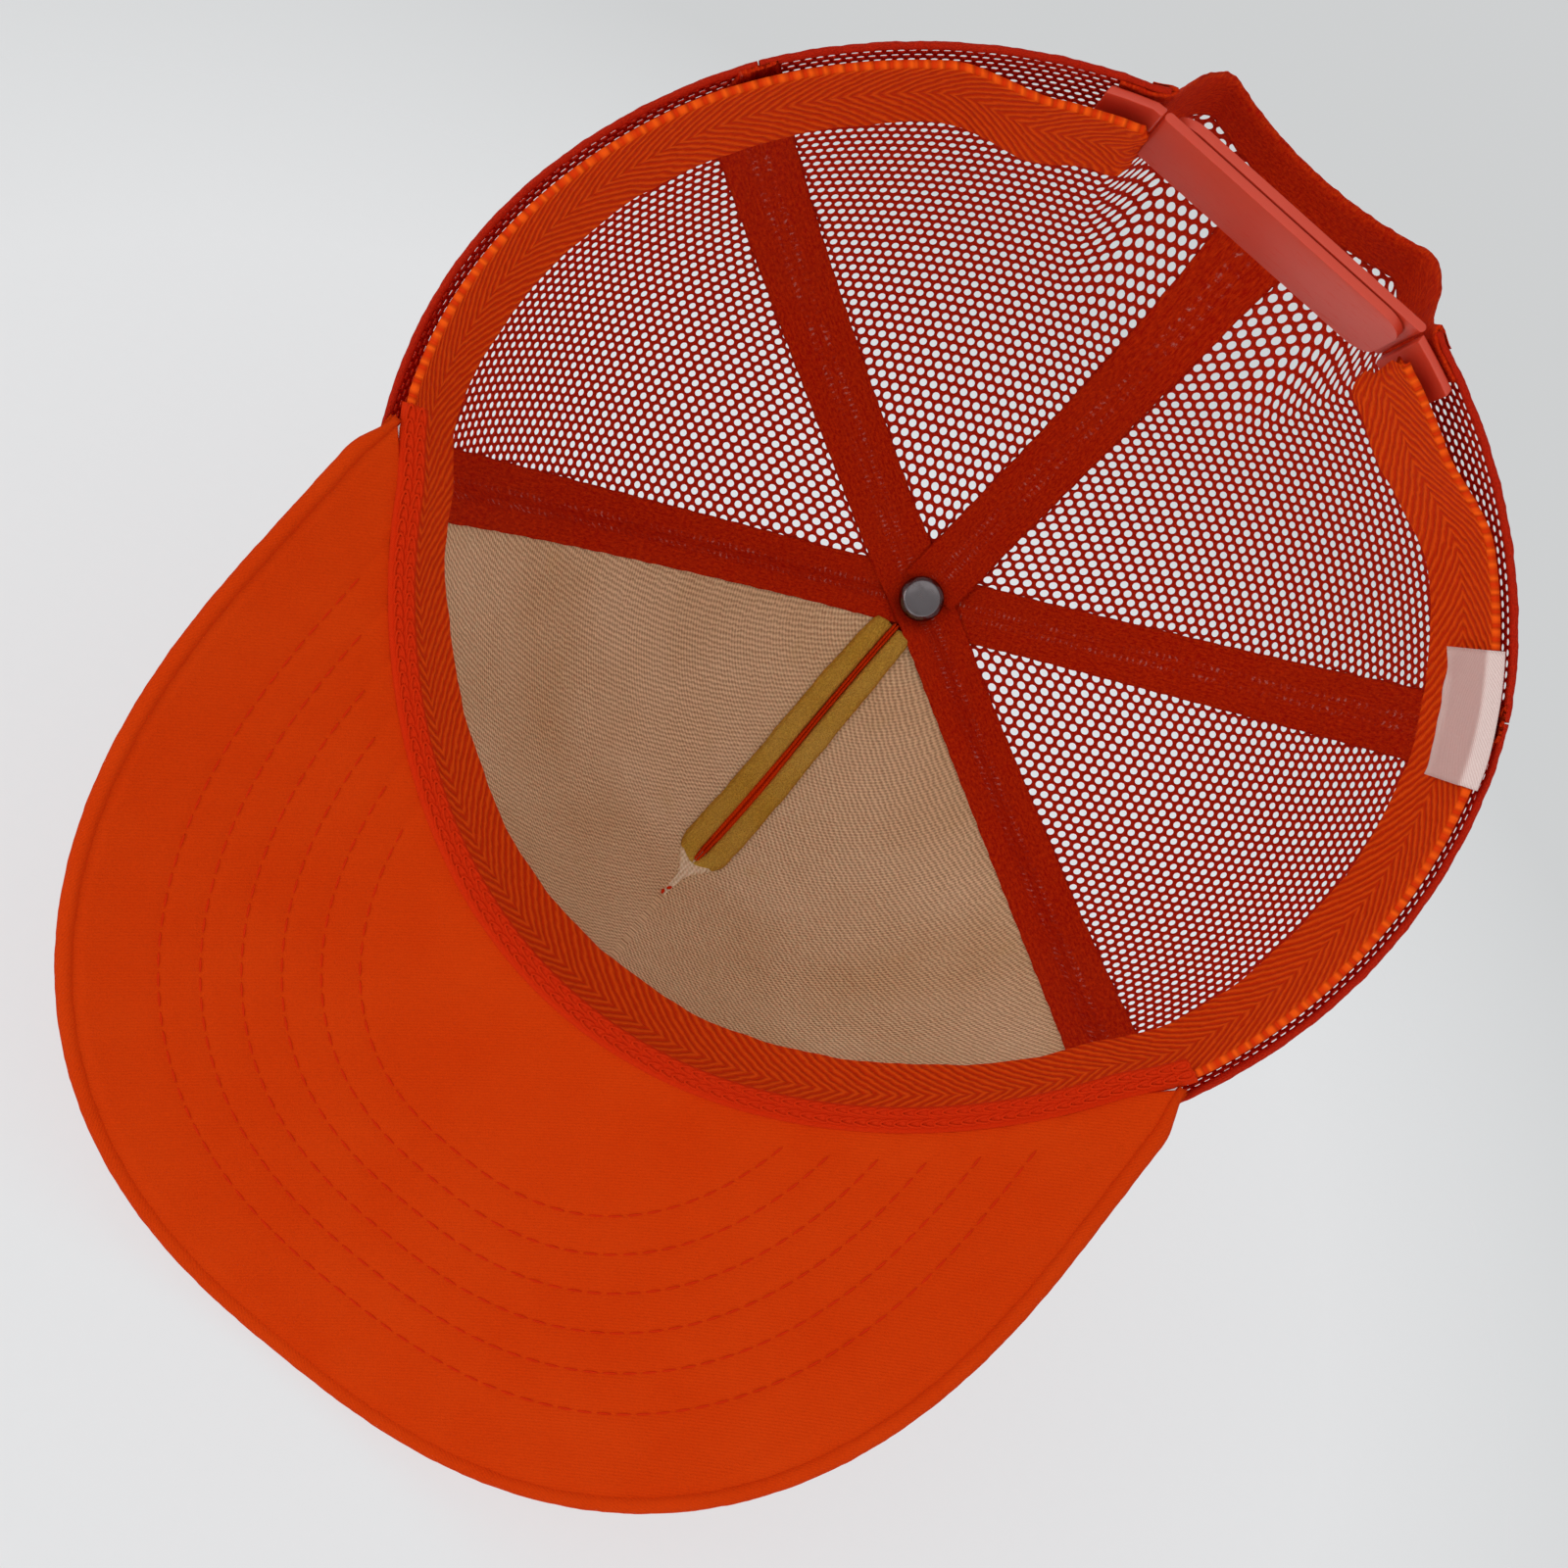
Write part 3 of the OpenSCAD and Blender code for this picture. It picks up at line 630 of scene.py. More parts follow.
@dataclass(frozen=True)
class ClothFinish:
    """A cloth: its weave, a deep and a light colour that the weave's tone mixes (partly painted shade in the
    grooves and painted highlight on the raised yarn) and how it wears.
    """

    name: str
    weave: Weave
    deep: tuple[float, float, float]
    light: tuple[float, float, float]
    fleck: tuple[float, float, float]
    fleck_amount: float = 0.15
    blotch_amount: float = 0.15
    bump: float = 0.25
    roughness: float = 0.85
    sheen: float = 0.3
    glow: float = 0.0

    def material(self) -> bpy.types.Material:
        """Returns the finish as a material, built on the first call."""
        if self.name in BUILT:
            return BUILT[self.name]
        mat = bpy.data.materials.new(self.name)
        BUILT[self.name] = mat
        mat.use_nodes = True
        tree = mat.node_tree
        tree.nodes.clear()
        g = Graph(tree)
        cloth = g.node("UVMap", props={"uv_map": "cloth"}).outputs[0]
        weave = g.node("Group", props={"node_tree": weave_group(self.weave)})
        wear = g.node("Group", props={"node_tree": wear_group()})
        for group in (weave, wear):
            tree.links.new(cloth, group.inputs[0])
        # Deep to light by the weave's tone: the cloth's pattern plus painted shade in the grooves and painted
        # highlight on raised yarn.
        thread_tone_and_relief_shade = g.blend(weave.outputs["Tone"], (*self.deep, 1), (*self.light, 1))
        fade = g.sum("MULTIPLY", wear.outputs["Blotch"], self.blotch_amount)
        faded = g.blend(fade, thread_tone_and_relief_shade, (*self.fleck, 1))
        specks = g.sum("MULTIPLY", wear.outputs["Fleck"], self.fleck_amount)
        color = self.marked(g, cloth, g.blend(specks, faded, (*self.fleck, 1)))
        rough = g.span(weave.outputs["Tone"], 0.0, 1.0, self.roughness - 0.08, self.roughness + 0.07)
        bump = g.node(
            "Bump", {"Strength": 0.9, "Distance": self.bump * MM, "Height": weave.outputs["Height"]}
        )
        shader = g.node(
            "BsdfPrincipled",
            {
                "Base Color": color,
                "Roughness": rough,
                "Normal": bump.outputs[0],
                "Sheen Weight": self.sheen,
                "Sheen Roughness": 0.45,
                "Sheen Tint": (*self.light, 1),
                "Specular IOR Level": 0.05,
            },
        )
        out = g.node("OutputMaterial", {"Surface": shader.outputs[0]})
        if self.glow > 0:
            through = g.node("BsdfTranslucent", {"Color": color})
            both = g.node("MixShader", {0: self.glow, 1: shader.outputs[0], 2: through.outputs[0]})
            tree.links.new(both.outputs[0], out.inputs["Surface"])
        return mat

    def marked(
        self, g: Graph, cloth: bpy.types.NodeSocket, color: bpy.types.NodeSocket
    ) -> bpy.types.NodeSocket:
        """Returns the colour with this cloth's own marks; a plain cloth has none."""
        return color


@dataclass(frozen=True)
class StainedFinish(ClothFinish):
    """Lining cloth with a faint yellow bloom and a few soft spots."""

    stain: tuple[float, float, float] = (0.62, 0.42, 0.16)

    def marked(
        self, g: Graph, cloth: bpy.types.NodeSocket, color: bpy.types.NodeSocket
    ) -> bpy.types.NodeSocket:
        """Returns the colour warmed by large blooms and small spots."""
        bloom = g.span(g.noise(cloth, 0.02, 2.0), 0.4, 0.75, 0.0, 0.5)
        spots = g.span(g.noise(cloth, 0.07, 2.0, 0.4), 0.66, 0.76, 0.0, 0.35)
        warm = g.blend(bloom, color, (*self.stain, 1), "MULTIPLY")
        return g.blend(spots, warm, (*self.stain, 1))


@dataclass(frozen=True)
class TapeFinish(ClothFinish):
    """Seam tape with two rows of needle holes that let the pale thread beneath show."""

    row_at: float = 1.25
    hole_pitch: float = 1.5
    thread: tuple[float, float, float] = (0.95, 0.40, 0.33)

    def marked(
        self, g: Graph, cloth: bpy.types.NodeSocket, color: bpy.types.NodeSocket
    ) -> bpy.types.NodeSocket:
        """Returns the colour with pinholes where the two needle rows run."""
        x, y, _ = g.split(cloth)
        off = g.sum("ABSOLUTE", g.sum("SUBTRACT", g.sum("ABSOLUTE", y), self.row_at))
        line = g.span(off, 0.2, 0.85, 1.0, 0.0)
        wander = g.sum("MULTIPLY_ADD", g.noise(cloth, 0.9, 2.0), 1.6, x)
        broken = g.span(g.noise(cloth, 1.3, 3.0, 0.7), 0.48, 0.62)
        dots = g.sum("MULTIPLY", g.span(g.waves(wander, self.hole_pitch), 0.5, 0.9), broken)
        patchy = g.span(g.noise(cloth, 0.10, 2.0), 0.42, 0.60, 0.1, 1.0)
        amount = g.sum("MULTIPLY", g.sum("MULTIPLY", line, dots), patchy)
        return g.blend(amount, color, (*self.thread, 1))


@dataclass(frozen=True)
class MouldedFinish:
    """Moulded plastic with faint flow marks, scuffs and a satin face."""

    name: str
    color: tuple[float, float, float]
    worn: tuple[float, float, float]
    roughness: float = 0.42

    def material(self) -> bpy.types.Material:
        """Returns the finish as a material, built on the first call."""
        if self.name in BUILT:
            return BUILT[self.name]
        mat = bpy.data.materials.new(self.name)
        BUILT[self.name] = mat
        mat.use_nodes = True
        tree = mat.node_tree
        tree.nodes.clear()
        g = Graph(tree)
        place = g.node("TexCoord").outputs["Object"]
        flow = g.noise(g.stretch(place, (1.0, 1.0, 0.25)), 90.0, 3.0)
        scuff = g.span(g.noise(g.stretch(place, (0.3, 1.0, 1.6)), 900.0, 4.0, 0.7), 0.56, 0.72)
        grain = g.noise(place, 4200.0, 2.0)
        tint = g.blend(g.sum("MULTIPLY", flow, 0.35), (*self.color, 1), (*self.worn, 1))
        color = g.blend(g.sum("MULTIPLY", scuff, 0.3), tint, (*self.worn, 1))
        rough = g.span(scuff, 0.0, 1.0, self.roughness, self.roughness + 0.2)
        height = g.sum("MULTIPLY_ADD", scuff, -0.5, g.sum("MULTIPLY", grain, 0.4))
        bump = g.node("Bump", {"Strength": 0.5, "Distance": 0.04 * MM, "Height": height})
        inputs = {
            "Base Color": color,
            "Roughness": rough,
            "Normal": bump.outputs[0],
            "Subsurface Weight": 0.12,
            "Subsurface Radius": (0.9, 0.25, 0.1),
            "Subsurface Scale": 1.5 * MM,
        }
        shader = g.node("BsdfPrincipled", inputs)
        g.node("OutputMaterial", {"Surface": shader.outputs[0]})
        return mat


@dataclass(frozen=True)
class MetalFinish:
    """Nickel-plated steel: fine scratches and a few dull spots."""

    name: str
    # This dark base colour is painted reflection: plated nickel is pale, and the darkness stands in for a dark
    # camera mirrored in the rivet's flat face.
    color: tuple[float, float, float] = (0.16, 0.14, 0.145)

    def material(self) -> bpy.types.Material:
        """Returns the finish as a material, built on the first call."""
        if self.name in BUILT:
            return BUILT[self.name]
        mat = bpy.data.materials.new(self.name)
        BUILT[self.name] = mat
        mat.use_nodes = True
        tree = mat.node_tree
        tree.nodes.clear()
        g = Graph(tree)
        place = g.node("TexCoord").outputs["Object"]
        scratch = g.noise(g.stretch(place, (1.0, 6.0, 1.0), 30), 700.0, 3.0, 0.6)
        dull = g.span(g.noise(place, 500.0, 3.0), 0.5, 0.75)
        color = g.blend(g.sum("MULTIPLY", dull, 0.35), (*self.color, 1), (0.10, 0.09, 0.09, 1))
        rough = g.sum("MULTIPLY_ADD", dull, 0.18, g.span(scratch, 0.3, 0.7, 0.12, 0.24))
        bump = g.node("Bump", {"Strength": 0.12, "Distance": 0.01 * MM, "Height": scratch})
        inputs = {"Base Color": color, "Roughness": rough, "Normal": bump.outputs[0], "Metallic": 1.0}
        shader = g.node("BsdfPrincipled", inputs)
        g.node("OutputMaterial", {"Surface": shader.outputs[0]})
        return mat


ORANGE_DEEP = (0.58, 0.030, 0.0006)
ORANGE = (0.80, 0.054, 0.0012)
ORANGE_PALE = (0.84, 0.085, 0.006)
RED_DEEP = (0.66, 0.004, 0.001)
RED = (1.0, 0.062, 0.004)
RED_NAP = (1.0, 0.13, 0.02)

VISOR_CLOTH = ClothFinish(
    "visor_peached_twill", Weave.PEACHED, ORANGE_DEEP, ORANGE, ORANGE_PALE, 0.16, 0.22, 0.3, sheen=0.01
)
FACE_CLOTH = ClothFinish(
    "face_panel_twill", Weave.TWILL, ORANGE_DEEP, ORANGE, ORANGE_PALE, 0.08, 0.12, 0.22, sheen=0.01
)
BAND_CLOTH = ClothFinish(
    "band_cloth", Weave.HERRINGBONE, (0.72, 0.032, 0.001), (1.0, 0.11, 0.006), ORANGE_PALE,
    0.05, 0.1, 0.7, sheen=0.01,
)
TAPE_CLOTH = TapeFinish(
    "tape_cloth", Weave.TRICOT, RED_DEEP, RED, RED_NAP, 0.5, 0.08, 0.45, sheen=0.01, glow=0.12
)
EDGE_CLOTH = ClothFinish(
    "edge_cloth", Weave.TRICOT, RED_DEEP, RED, RED_NAP, 0.5, 0.08, 0.45, sheen=0.01
)
NET_YARN = ClothFinish(
    "net_yarn", Weave.FILAMENT, (0.36, 0.003, 0.002), (0.96, 0.040, 0.010), ORANGE_PALE,
    0.12, 0.08, 0.2, 0.6, 0.01, glow=0.1,
)
LINING_KNIT = StainedFinish(
    "lining_knit", Weave.RIB, (0.38, 0.205, 0.095), (1.0, 0.76, 0.47), (1.0, 0.80, 0.56),
    0.15, 0.12, 0.45, sheen=0.01
)
TAIL_KNIT = ClothFinish(
    "tail_knit", Weave.RIB, (0.52, 0.36, 0.17), (0.96, 0.82, 0.58), (0.98, 0.88, 0.70),
    0.15, 0.2, 0.3, sheen=0.03
)
FOAM_SKIN = ClothFinish(
    "foam_skin", Weave.FOAM, (0.34, 0.17, 0.014), (0.66, 0.40, 0.045), (0.76, 0.55, 0.16),
    0.25, 0.25, 0.5, 0.9, 0.03
)
THREAD = ClothFinish(
    "sewing_thread", Weave.SPUN, (0.54, 0.014, 0.001), (0.80, 0.036, 0.002), ORANGE_PALE, 0.1, 0.1, 0.06, 0.6, 0.03
)
LABEL_CLOTH = ClothFinish(
    "label_satin", Weave.TWILL, (0.72, 0.52, 0.48), (0.90, 0.72, 0.68), (0.84, 0.60, 0.55),
    0.15, 0.3, 0.1, 0.6, 0.05
)
STRAP_PLASTIC = MouldedFinish("strap_moulding", (0.62, 0.050, 0.020), (0.70, 0.08, 0.04))
BOARD_PLASTIC = MouldedFinish("board_plastic", (0.80, 0.79, 0.74), (0.88, 0.87, 0.84), 0.6)
# Its dark default colour is painted reflection of a dark camera in the rivet's flat face.
NICKEL_WITH_PAINTED_REFLECTION = MetalFinish("nickel_plate")


# ------------------------------------------------------------------- netting


@dataclass
class NetGore:
    """One gore of knitted netting with its sewn edges.

    The cloth is laid out flat about the gore's middle line. A flat point (s across, y up) lands
    where a straight thread across the middle line would lie on a ball: the sine of its latitude
    is sin(y/R) cos(s/R), and the tangent of its turn is tan(s/R) / cos(y/R).
    """

    name: str
    a0: float
    a1: float
    opening: bool = False
    across: float = 2.15
    along: float = 2.55
    hole: tuple[float, float] = (0.79, 1.0)
    margin: float = 1.3
    seam_w: float = 3.3
    top_r: float = 6.5

    def __post_init__(self) -> None:
        """Works out the middle line's true length against the climb."""
        self.mid = (self.a0 + self.a1) / 2
        self.half = (self.a1 - self.a0) / 2
        self.t = np.linspace(0, 1, 400)
        run = arc_length(SHAPE.crown(self.mid, self.t, 0))
        self.length = run[-1]
        self.latitude = run / self.length * np.pi / 2
        self.ball = self.length / (np.pi / 2)

    def place(self, s: Array, y: Array) -> tuple[Array, Array]:
        """Returns the angle and climb of flat cloth points."""
        lat0 = y / self.ball
        lat = np.arcsin(np.clip(np.sin(lat0) * np.cos(s / self.ball), -1, 1))
        turn = np.arctan2(np.sin(s / self.ball), np.cos(s / self.ball) * np.cos(lat0))
        return self.mid + np.degrees(turn), np.interp(lat, self.latitude, self.t)

    def inside(self, s: Array, y: Array) -> Array:
        """Returns True where a flat point lies within the gore's sewn edges."""
        a, t = self.place(s, y)
        r = SHAPE.plan_r(a, t)
        side = np.radians(self.half - np.abs(a - self.mid)) * r
        keep = (side > self.margin) & (y > 0.9) & (r > self.top_r)
        if self.opening:
            w = 180 - np.abs(a)
            z = SHAPE.crown(a, t, 0)[..., 2]
            keep &= (w / (SHAPE.arch_half + 0.9)) ** 2 + (z / (SHAPE.arch_h + 1.6)) ** 2 > 1
        return keep

    def netting(self) -> Surface:
        """Returns the knitted holes: each a twelve-sided rounded hole in a six-sided tile.

        Tiles share their corner points, corners stand proud as knots, and a row is shifted by
        half a hole against the next.
        """
        px, py = self.across, self.along
        ix = np.array([2, 2, 1, 0, -1, -2, -2, -2, -1, 0, 1, 2])
        iy = np.array([0, 2, 3, 4, 3, 2, 0, -2, -3, -4, -3, -2])
        rows = np.arange(1, int(self.length / py) + 1)
        cols = np.arange(-28, 29)
        row, col = np.meshgrid(rows, cols, indexing="ij")
        kx = (4 * col + 2 * (row % 2)).ravel()[:, None] + ix[None]
        ky = (6 * row).ravel()[:, None] + iy[None]
        keep = self.inside(kx * px / 4, ky * py / 6).all(1)
        kx, ky = kx[keep], ky[keep]
        n = len(kx)
        key = (kx + 4096) * 65536 + (ky + 4096)
        _, first, back = np.unique(key.ravel(), return_index=True, return_inverse=True)
        ox, oy = kx.ravel()[first] * px / 4, ky.ravel()[first] * py / 6
        knot = np.isin((oy * 6 / py).round().astype(int) % 6, (2, 4))
        outer = back.reshape(n, 12)
        f = np.arange(12) * np.pi / 6
        cx = (kx.mean(1) * px / 4)[:, None] + self.hole[0] * np.cos(f)[None]
        cy = (ky.mean(1) * py / 6)[:, None] + self.hole[1] * np.sin(f)[None]
        ripple_o = 0.12 * ripple(ox + 3 * oy, 5, 31.0)
        k = len(ox)

        def lift(sx: Array, sy: Array, depth: Array) -> Array:
            """Returns flat points laid on the crown at a depth."""
            a, t = self.place(sx, sy)
            return SHAPE.crown(a, t, depth).reshape(-1, 3)

        blocks = [
            lift(ox, oy, np.where(knot, 0.04, 0.16) + ripple_o * 0.3),
            lift(ox, oy, np.where(knot, 0.84, 0.74) + ripple_o * 0.3),
            lift(cx, cy, np.full(cx.shape, 0.32)),
            lift(cx, cy, np.full(cx.shape, 0.60)),
        ]
        top = 2 * k + np.arange(12 * n).reshape(n, 12)
        low = top + 12 * n
        nxt = np.roll(np.arange(12), -1)
        faces = [
            np.stack([outer, outer[:, nxt], top[:, nxt], top], -1),
            np.stack([top, top[:, nxt], low[:, nxt], low], -1),
            np.stack([k + outer[:, nxt], k + outer, low, low[:, nxt]], -1),
        ]
        e0, e1 = outer.ravel(), outer[:, nxt].ravel()
        edge = np.minimum(e0, e1).astype(np.int64) * k + np.maximum(e0, e1)
        _, spot, count = np.unique(edge, return_index=True, return_counts=True)
        rim = spot[count == 1]
        faces.append(np.stack([e1[rim], e0[rim], e0[rim] + k, e1[rim] + k], -1)[None])
        flat_o = np.stack([ox, oy], -1)
        flat_h = np.stack([cx.ravel(), cy.ravel()], -1)
        flat = np.concatenate([flat_o, flat_o, flat_h, flat_h])
        return Surface(np.concatenate(blocks), [b.reshape(-1, 4) for b in faces], flat)

    def edge_strip(self, side: int) -> Surface:
        """Returns the doubled seam edge up one side of the gore, wavering in width."""
        edge = self.a1 if side > 0 else self.a0
        t0 = 0.004
        if self.opening and abs(abs(edge) - 180) < 1:
            t0 = float(SHAPE.climb(180, SHAPE.arch_h + 1))
        t = np.linspace(t0, 0.98, 150)[:, None]
        v = np.linspace(0, 1, 5)[None]
        r = SHAPE.plan_r(edge, t)
        wide = np.minimum(self.seam_w + 0.35 * ripple(t * 150, 9, 17.0), r * 0.45)
        a = edge - side * np.degrees((0.12 + (wide - 0.12) * v) / np.maximum(r, 1))
        puff = 0.18 * (1 - v) ** 2
        outer = SHAPE.crown(a, t, 0.30 - puff)
        inner = SHAPE.crown(a, t, 0.72 + 0.1 * v)
        flat = np.stack(np.broadcast_arrays(v * wide, t * self.length), -1)
        return shell(outer, inner, flat)

    def rim_roll(self) -> Surface:
        """Returns the folded hem along the rim as a slim flattened roll."""
        lo, hi = sorted((self.a0, self.a1))
        if self.opening:
            lo, hi = (lo, 180 - SHAPE.arch_half) if lo > 0 else (SHAPE.arch_half - 180, hi)
        a = np.linspace(lo + 0.1, hi - 0.1, 160)
        wave = 0.25 * ripple(a, 21, 6.0)
        path = SHAPE.crown(a, 0.0, 0.75)
        path[:, 2] += 0.85 + wave
        along = unit(np.gradient(path, axis=0))
        up = np.broadcast_to([0.0, 0.0, 1.0], along.shape)
        out = unit(np.cross(along, up))
        return tube(path, out * 0.62, up, 1.0 + 0.08 * ripple(a, 4, 2.1))

    def surface(self) -> Surface:
        """Returns the whole gore."""
        parts = [self.edge_strip(1), self.edge_strip(-1), self.rim_roll()]
        return self.netting().joined(*parts)


# -------------------------------------------------------------- front panel


@dataclass
class FrontPanel:
    """Face cloth, foam and knitted lining of the front, with its centre dart."""

    face_t: float = 0.6
    foam: tuple[float, float] = (0.75, 3.35)
    lining: tuple[float, float] = (3.5, 4.1)
    stop: float = 3.4
    dart_t: float = 2.0
    dart_w: float = 5.5
    foam_end: float = 0.865

    def layer(
        self, d0: float, d1: float, s: float, t1: float, n: int, m: int, wrinkle: float,
        bias: bool = False,
    ) -> Surface:
        """Returns a layer between two depths that stops short of the seams.

        Args:
            d0: Depth of its outer face.
            d1: Depth of its inner face.
            s: Distance that it stops short of the side seams.
            t1: Climb of its upper edge.
            n: Columns.
            m: Rows.
            wrinkle: Height of its soft waves.
            bias: True if its ribs run slantwise, mirrored about the middle.
        """
        t = np.linspace(0, t1, m)[None]
        u = np.linspace(-1, 1, n)[:, None]
        r = SHAPE.plan_r(SHAPE.seam_front, t)
        reach = SHAPE.seam_front - 0.15 - np.degrees(np.arcsin(np.minimum(0.9, s / np.maximum(1, r))))
        a = u * reach
        x = np.radians(a) * SHAPE.plan_r(a, t)
        y = t * 150
        wave = wrinkle * ripple(x * 0.8 + y * 0.25, 3, 47.0) * ripple(y, 8, 38.0)
        pleat = self.dart_pull(x, t)
        outer = SHAPE.crown(a, t, d0 + wave + pleat * (d0 < self.foam[0]))
        inner = SHAPE.crown(a, t, d1 + wave)
        if bias:
            x, y = (y - np.abs(x)) * math.sqrt(0.5), (y + np.abs(x)) * math.sqrt(0.5)
        return shell(outer, inner, np.stack(np.broadcast_arrays(x, y), -1))

    def dart_pull(self, x: Array, t: Array) -> Array:
        """Returns the groove of the centre dart on the outside: a bell across its seam line."""
        live = smooth_step((t - 0.36) / 0.08)
        return live * (0.5 * np.exp(-((x / 0.7) ** 2)) - 0.3 * np.exp(-(((np.abs(x) - 2.4) / 1.6) ** 2)))

    def dart_climb(self, v: Array) -> Array:
        """Returns the climb along the dart, from beside the rivet (0) to its tip (1)."""
        return 0.985 - 0.595 * v

    def dart_point(self, v: Array, s: Array, d: Array) -> Array:
        """Returns a point on the dart at length v, sideways s and depth d."""
        t = self.dart_climb(v)
        bow = 1.5 * np.sin(np.pi * np.clip(v, 0, 1))
        return SHAPE.crown(np.degrees(np.arctan((s - bow) / SHAPE.plan_r(0, t))), t, d)

    def dart_half(self, v: Array) -> Array:
        """Returns the half width of the dart's foam edges: nested in the tapes above, round below."""
        r = SHAPE.plan_r(0, self.dart_climb(v))
        notch = (r * sin_d(SHAPE.seam_front) - 6.9) / cos_d(SHAPE.seam_front)
        low = np.clip((v - self.foam_end + 0.075) / 0.075, 0, 1)
        return np.minimum(notch, (self.dart_w + 0.3) * np.sqrt(np.maximum(0.02, 1 - low**2)))

    def dart_foam(self) -> Surface:
        """Returns the two raw foam edges beside the fold: crowned strips, bitten unevenly."""
        deep = self.lining[1] + 0.15
        v = np.linspace(0.036, self.foam_end, 130)[:, None]
        q = np.linspace(0, 1, 17)[None]
        made = []
        for side in (-1, 1):
            bite = 0.14 * ripple(v * 80, 30 + side, 13.0) + 0.05 * ripple(v * 80, 33 + side, 2.6)
            half = np.maximum(self.dart_half(v), 0.5)
            near = 0.75 * (1 - smooth_step((v - self.foam_end + 0.05) / 0.05))
            s = near + np.maximum(half - near + bite * (half > 2), 0.3) * q
            ends = np.sqrt(np.clip(np.minimum((v - 0.03) / 0.03, (self.foam_end + 0.004 - v) / 0.05), 0, 1))
            crown = np.maximum(0.0, 1 - np.abs(2 * q - 1) ** 3.2) ** 0.5
            top = deep + self.dart_t * (0.12 + 0.88 * crown * ends) + 0.04 * ripple(v * 80 + q * 20, 7, 3.0)
            outer = self.dart_point(v, side * s, deep + 0 * top)
            inner = self.dart_point(v, side * s, top)
            flat = np.stack(np.broadcast_arrays(v * 86, side * s), -1)
            made.append(shell(outer, inner, flat))
        return made[0].joined(made[1])

    def dart_fold(self) -> Surface:
        """Returns the folded face cloth in the dart: two lips with a dark valley between."""
        deep = self.lining[1] + 0.15
        v = np.linspace(0.03, self.foam_end - 0.012, 140)[:, None]
        q = np.linspace(-1, 1, 17)[None]
        swell = smooth_step((v - 0.3) / 0.3) * (1 - smooth_step((v - 0.68) / 0.17))
        wide = (0.72 + 0.5 * swell) * (1 + 0.08 * ripple(v * 80, 2, 5.0))
        valley = 0.8 * np.exp(-((q / 0.17) ** 2))
        rise = self.dart_t * 0.9 * (np.sqrt(np.maximum(0, 1 - q**2 * 0.85)) - valley)
        rise = np.maximum(rise, 0.1)
        outer = self.dart_point(v, q * wide, deep + 0 * rise)
        inner = self.dart_point(v, q * wide, deep + rise)
        return shell(outer, inner, np.stack(np.broadcast_arrays(v * 86, q * wide), -1))

    def dart_tail(self) -> Surface:
        """Returns the lining's pinched tail below the foam, hollowed and running to the tip."""
        deep = self.lining[1] + 0.02
        v = np.linspace(self.foam_end - 0.05, 1.0, 60)[:, None]
        q = np.linspace(-1, 1, 17)[None]
        run = (v - self.foam_end + 0.05) / (1.05 - self.foam_end)
        wide = 3.4 * (1 - smooth_step(run * 1.7)) + 1.3 * (1 - run) + 0.35
        lips = 0.55 + 0.45 * np.abs(q) ** 2
        rise = 1.4 * (1 - run) ** 0.8 * (1 - np.abs(q) ** 6) ** 0.5 * lips + 0.1
        outer = self.dart_point(v, q * wide, deep + 0 * rise)
        inner = self.dart_point(v, q * wide, deep + rise)
        return shell(outer, inner, np.stack(np.broadcast_arrays(v * 86, q * wide), -1))

    def dart_thread(self) -> Surface:
        """Returns the thread that closes the dart's tip and its short loose end."""
        v = np.linspace(0.965, 1.012, 12)
        path = self.dart_point(v, 0.5 * np.sin(v * 90), self.lining[1] + 0.5 - 0 * v)
        nrm = -SHAPE.normal(np.zeros(12), self.dart_climb(v))
        return stitch_row(path, nrm, 1.5, 0.1, 0.75, 0.65)

    def seam_stitches(self) -> Surface:
        """Returns the twin topstitching beside the two side seams."""
        rows = []
        for side in (-1, 1):
            for off in (1.6, 4.6):
                t = np.linspace(0.02, 0.93, 160)
                r = SHAPE.plan_r(SHAPE.seam_front, t)
                a = side * (SHAPE.seam_front - np.degrees(off / np.maximum(r, 6)))
                rows.append(stitch_row(SHAPE.crown(a, t, -0.02), SHAPE.normal(a, t), 2.2, 0.5, 0.42, 0.34))
        return rows[0].joined(*rows[1:])

    def build(self) -> None:
        """Makes the pieces of the front panel."""
        face = self.layer(0, self.face_t, 0, 0.984, 150, 130, 0.0)
        make_piece(
            "front_face_cloth", face, FACE_CLOTH.material(), "cap", "front_face"
        )
        make_piece("front_seam_stitches", self.seam_stitches(), THREAD.material(), "cap")
        foam = make_piece(
            "front_foam_pad",
            self.layer(*self.foam, self.stop, 0.95, 60, 50, 0.03),
            FOAM_SKIN.material(), "cap", "front_foam",
        )
        lining = self.layer(
            self.lining[0] - 0.05, self.lining[1], self.stop, 0.965, 140, 120, 0.1, bias=True
        )
        make_piece("front_lining_knit", lining, LINING_KNIT.material(), "cap", "front_lining")
        dart = make_piece(
            "dart_foam_edges", self.dart_foam(), FOAM_SKIN.material(), "cap", "dart_foam"
        )
        make_piece(
            "dart_fold_ridge", self.dart_fold(), FACE_CLOTH.material(), "cap", "dart_fold"
        )
        make_piece("dart_tail_pinch", self.dart_tail(), TAIL_KNIT.material(), "cap")
        make_piece("dart_tip_thread", self.dart_thread(), THREAD.material(), "cap")


# --------------------------------------------------------------------- mesh


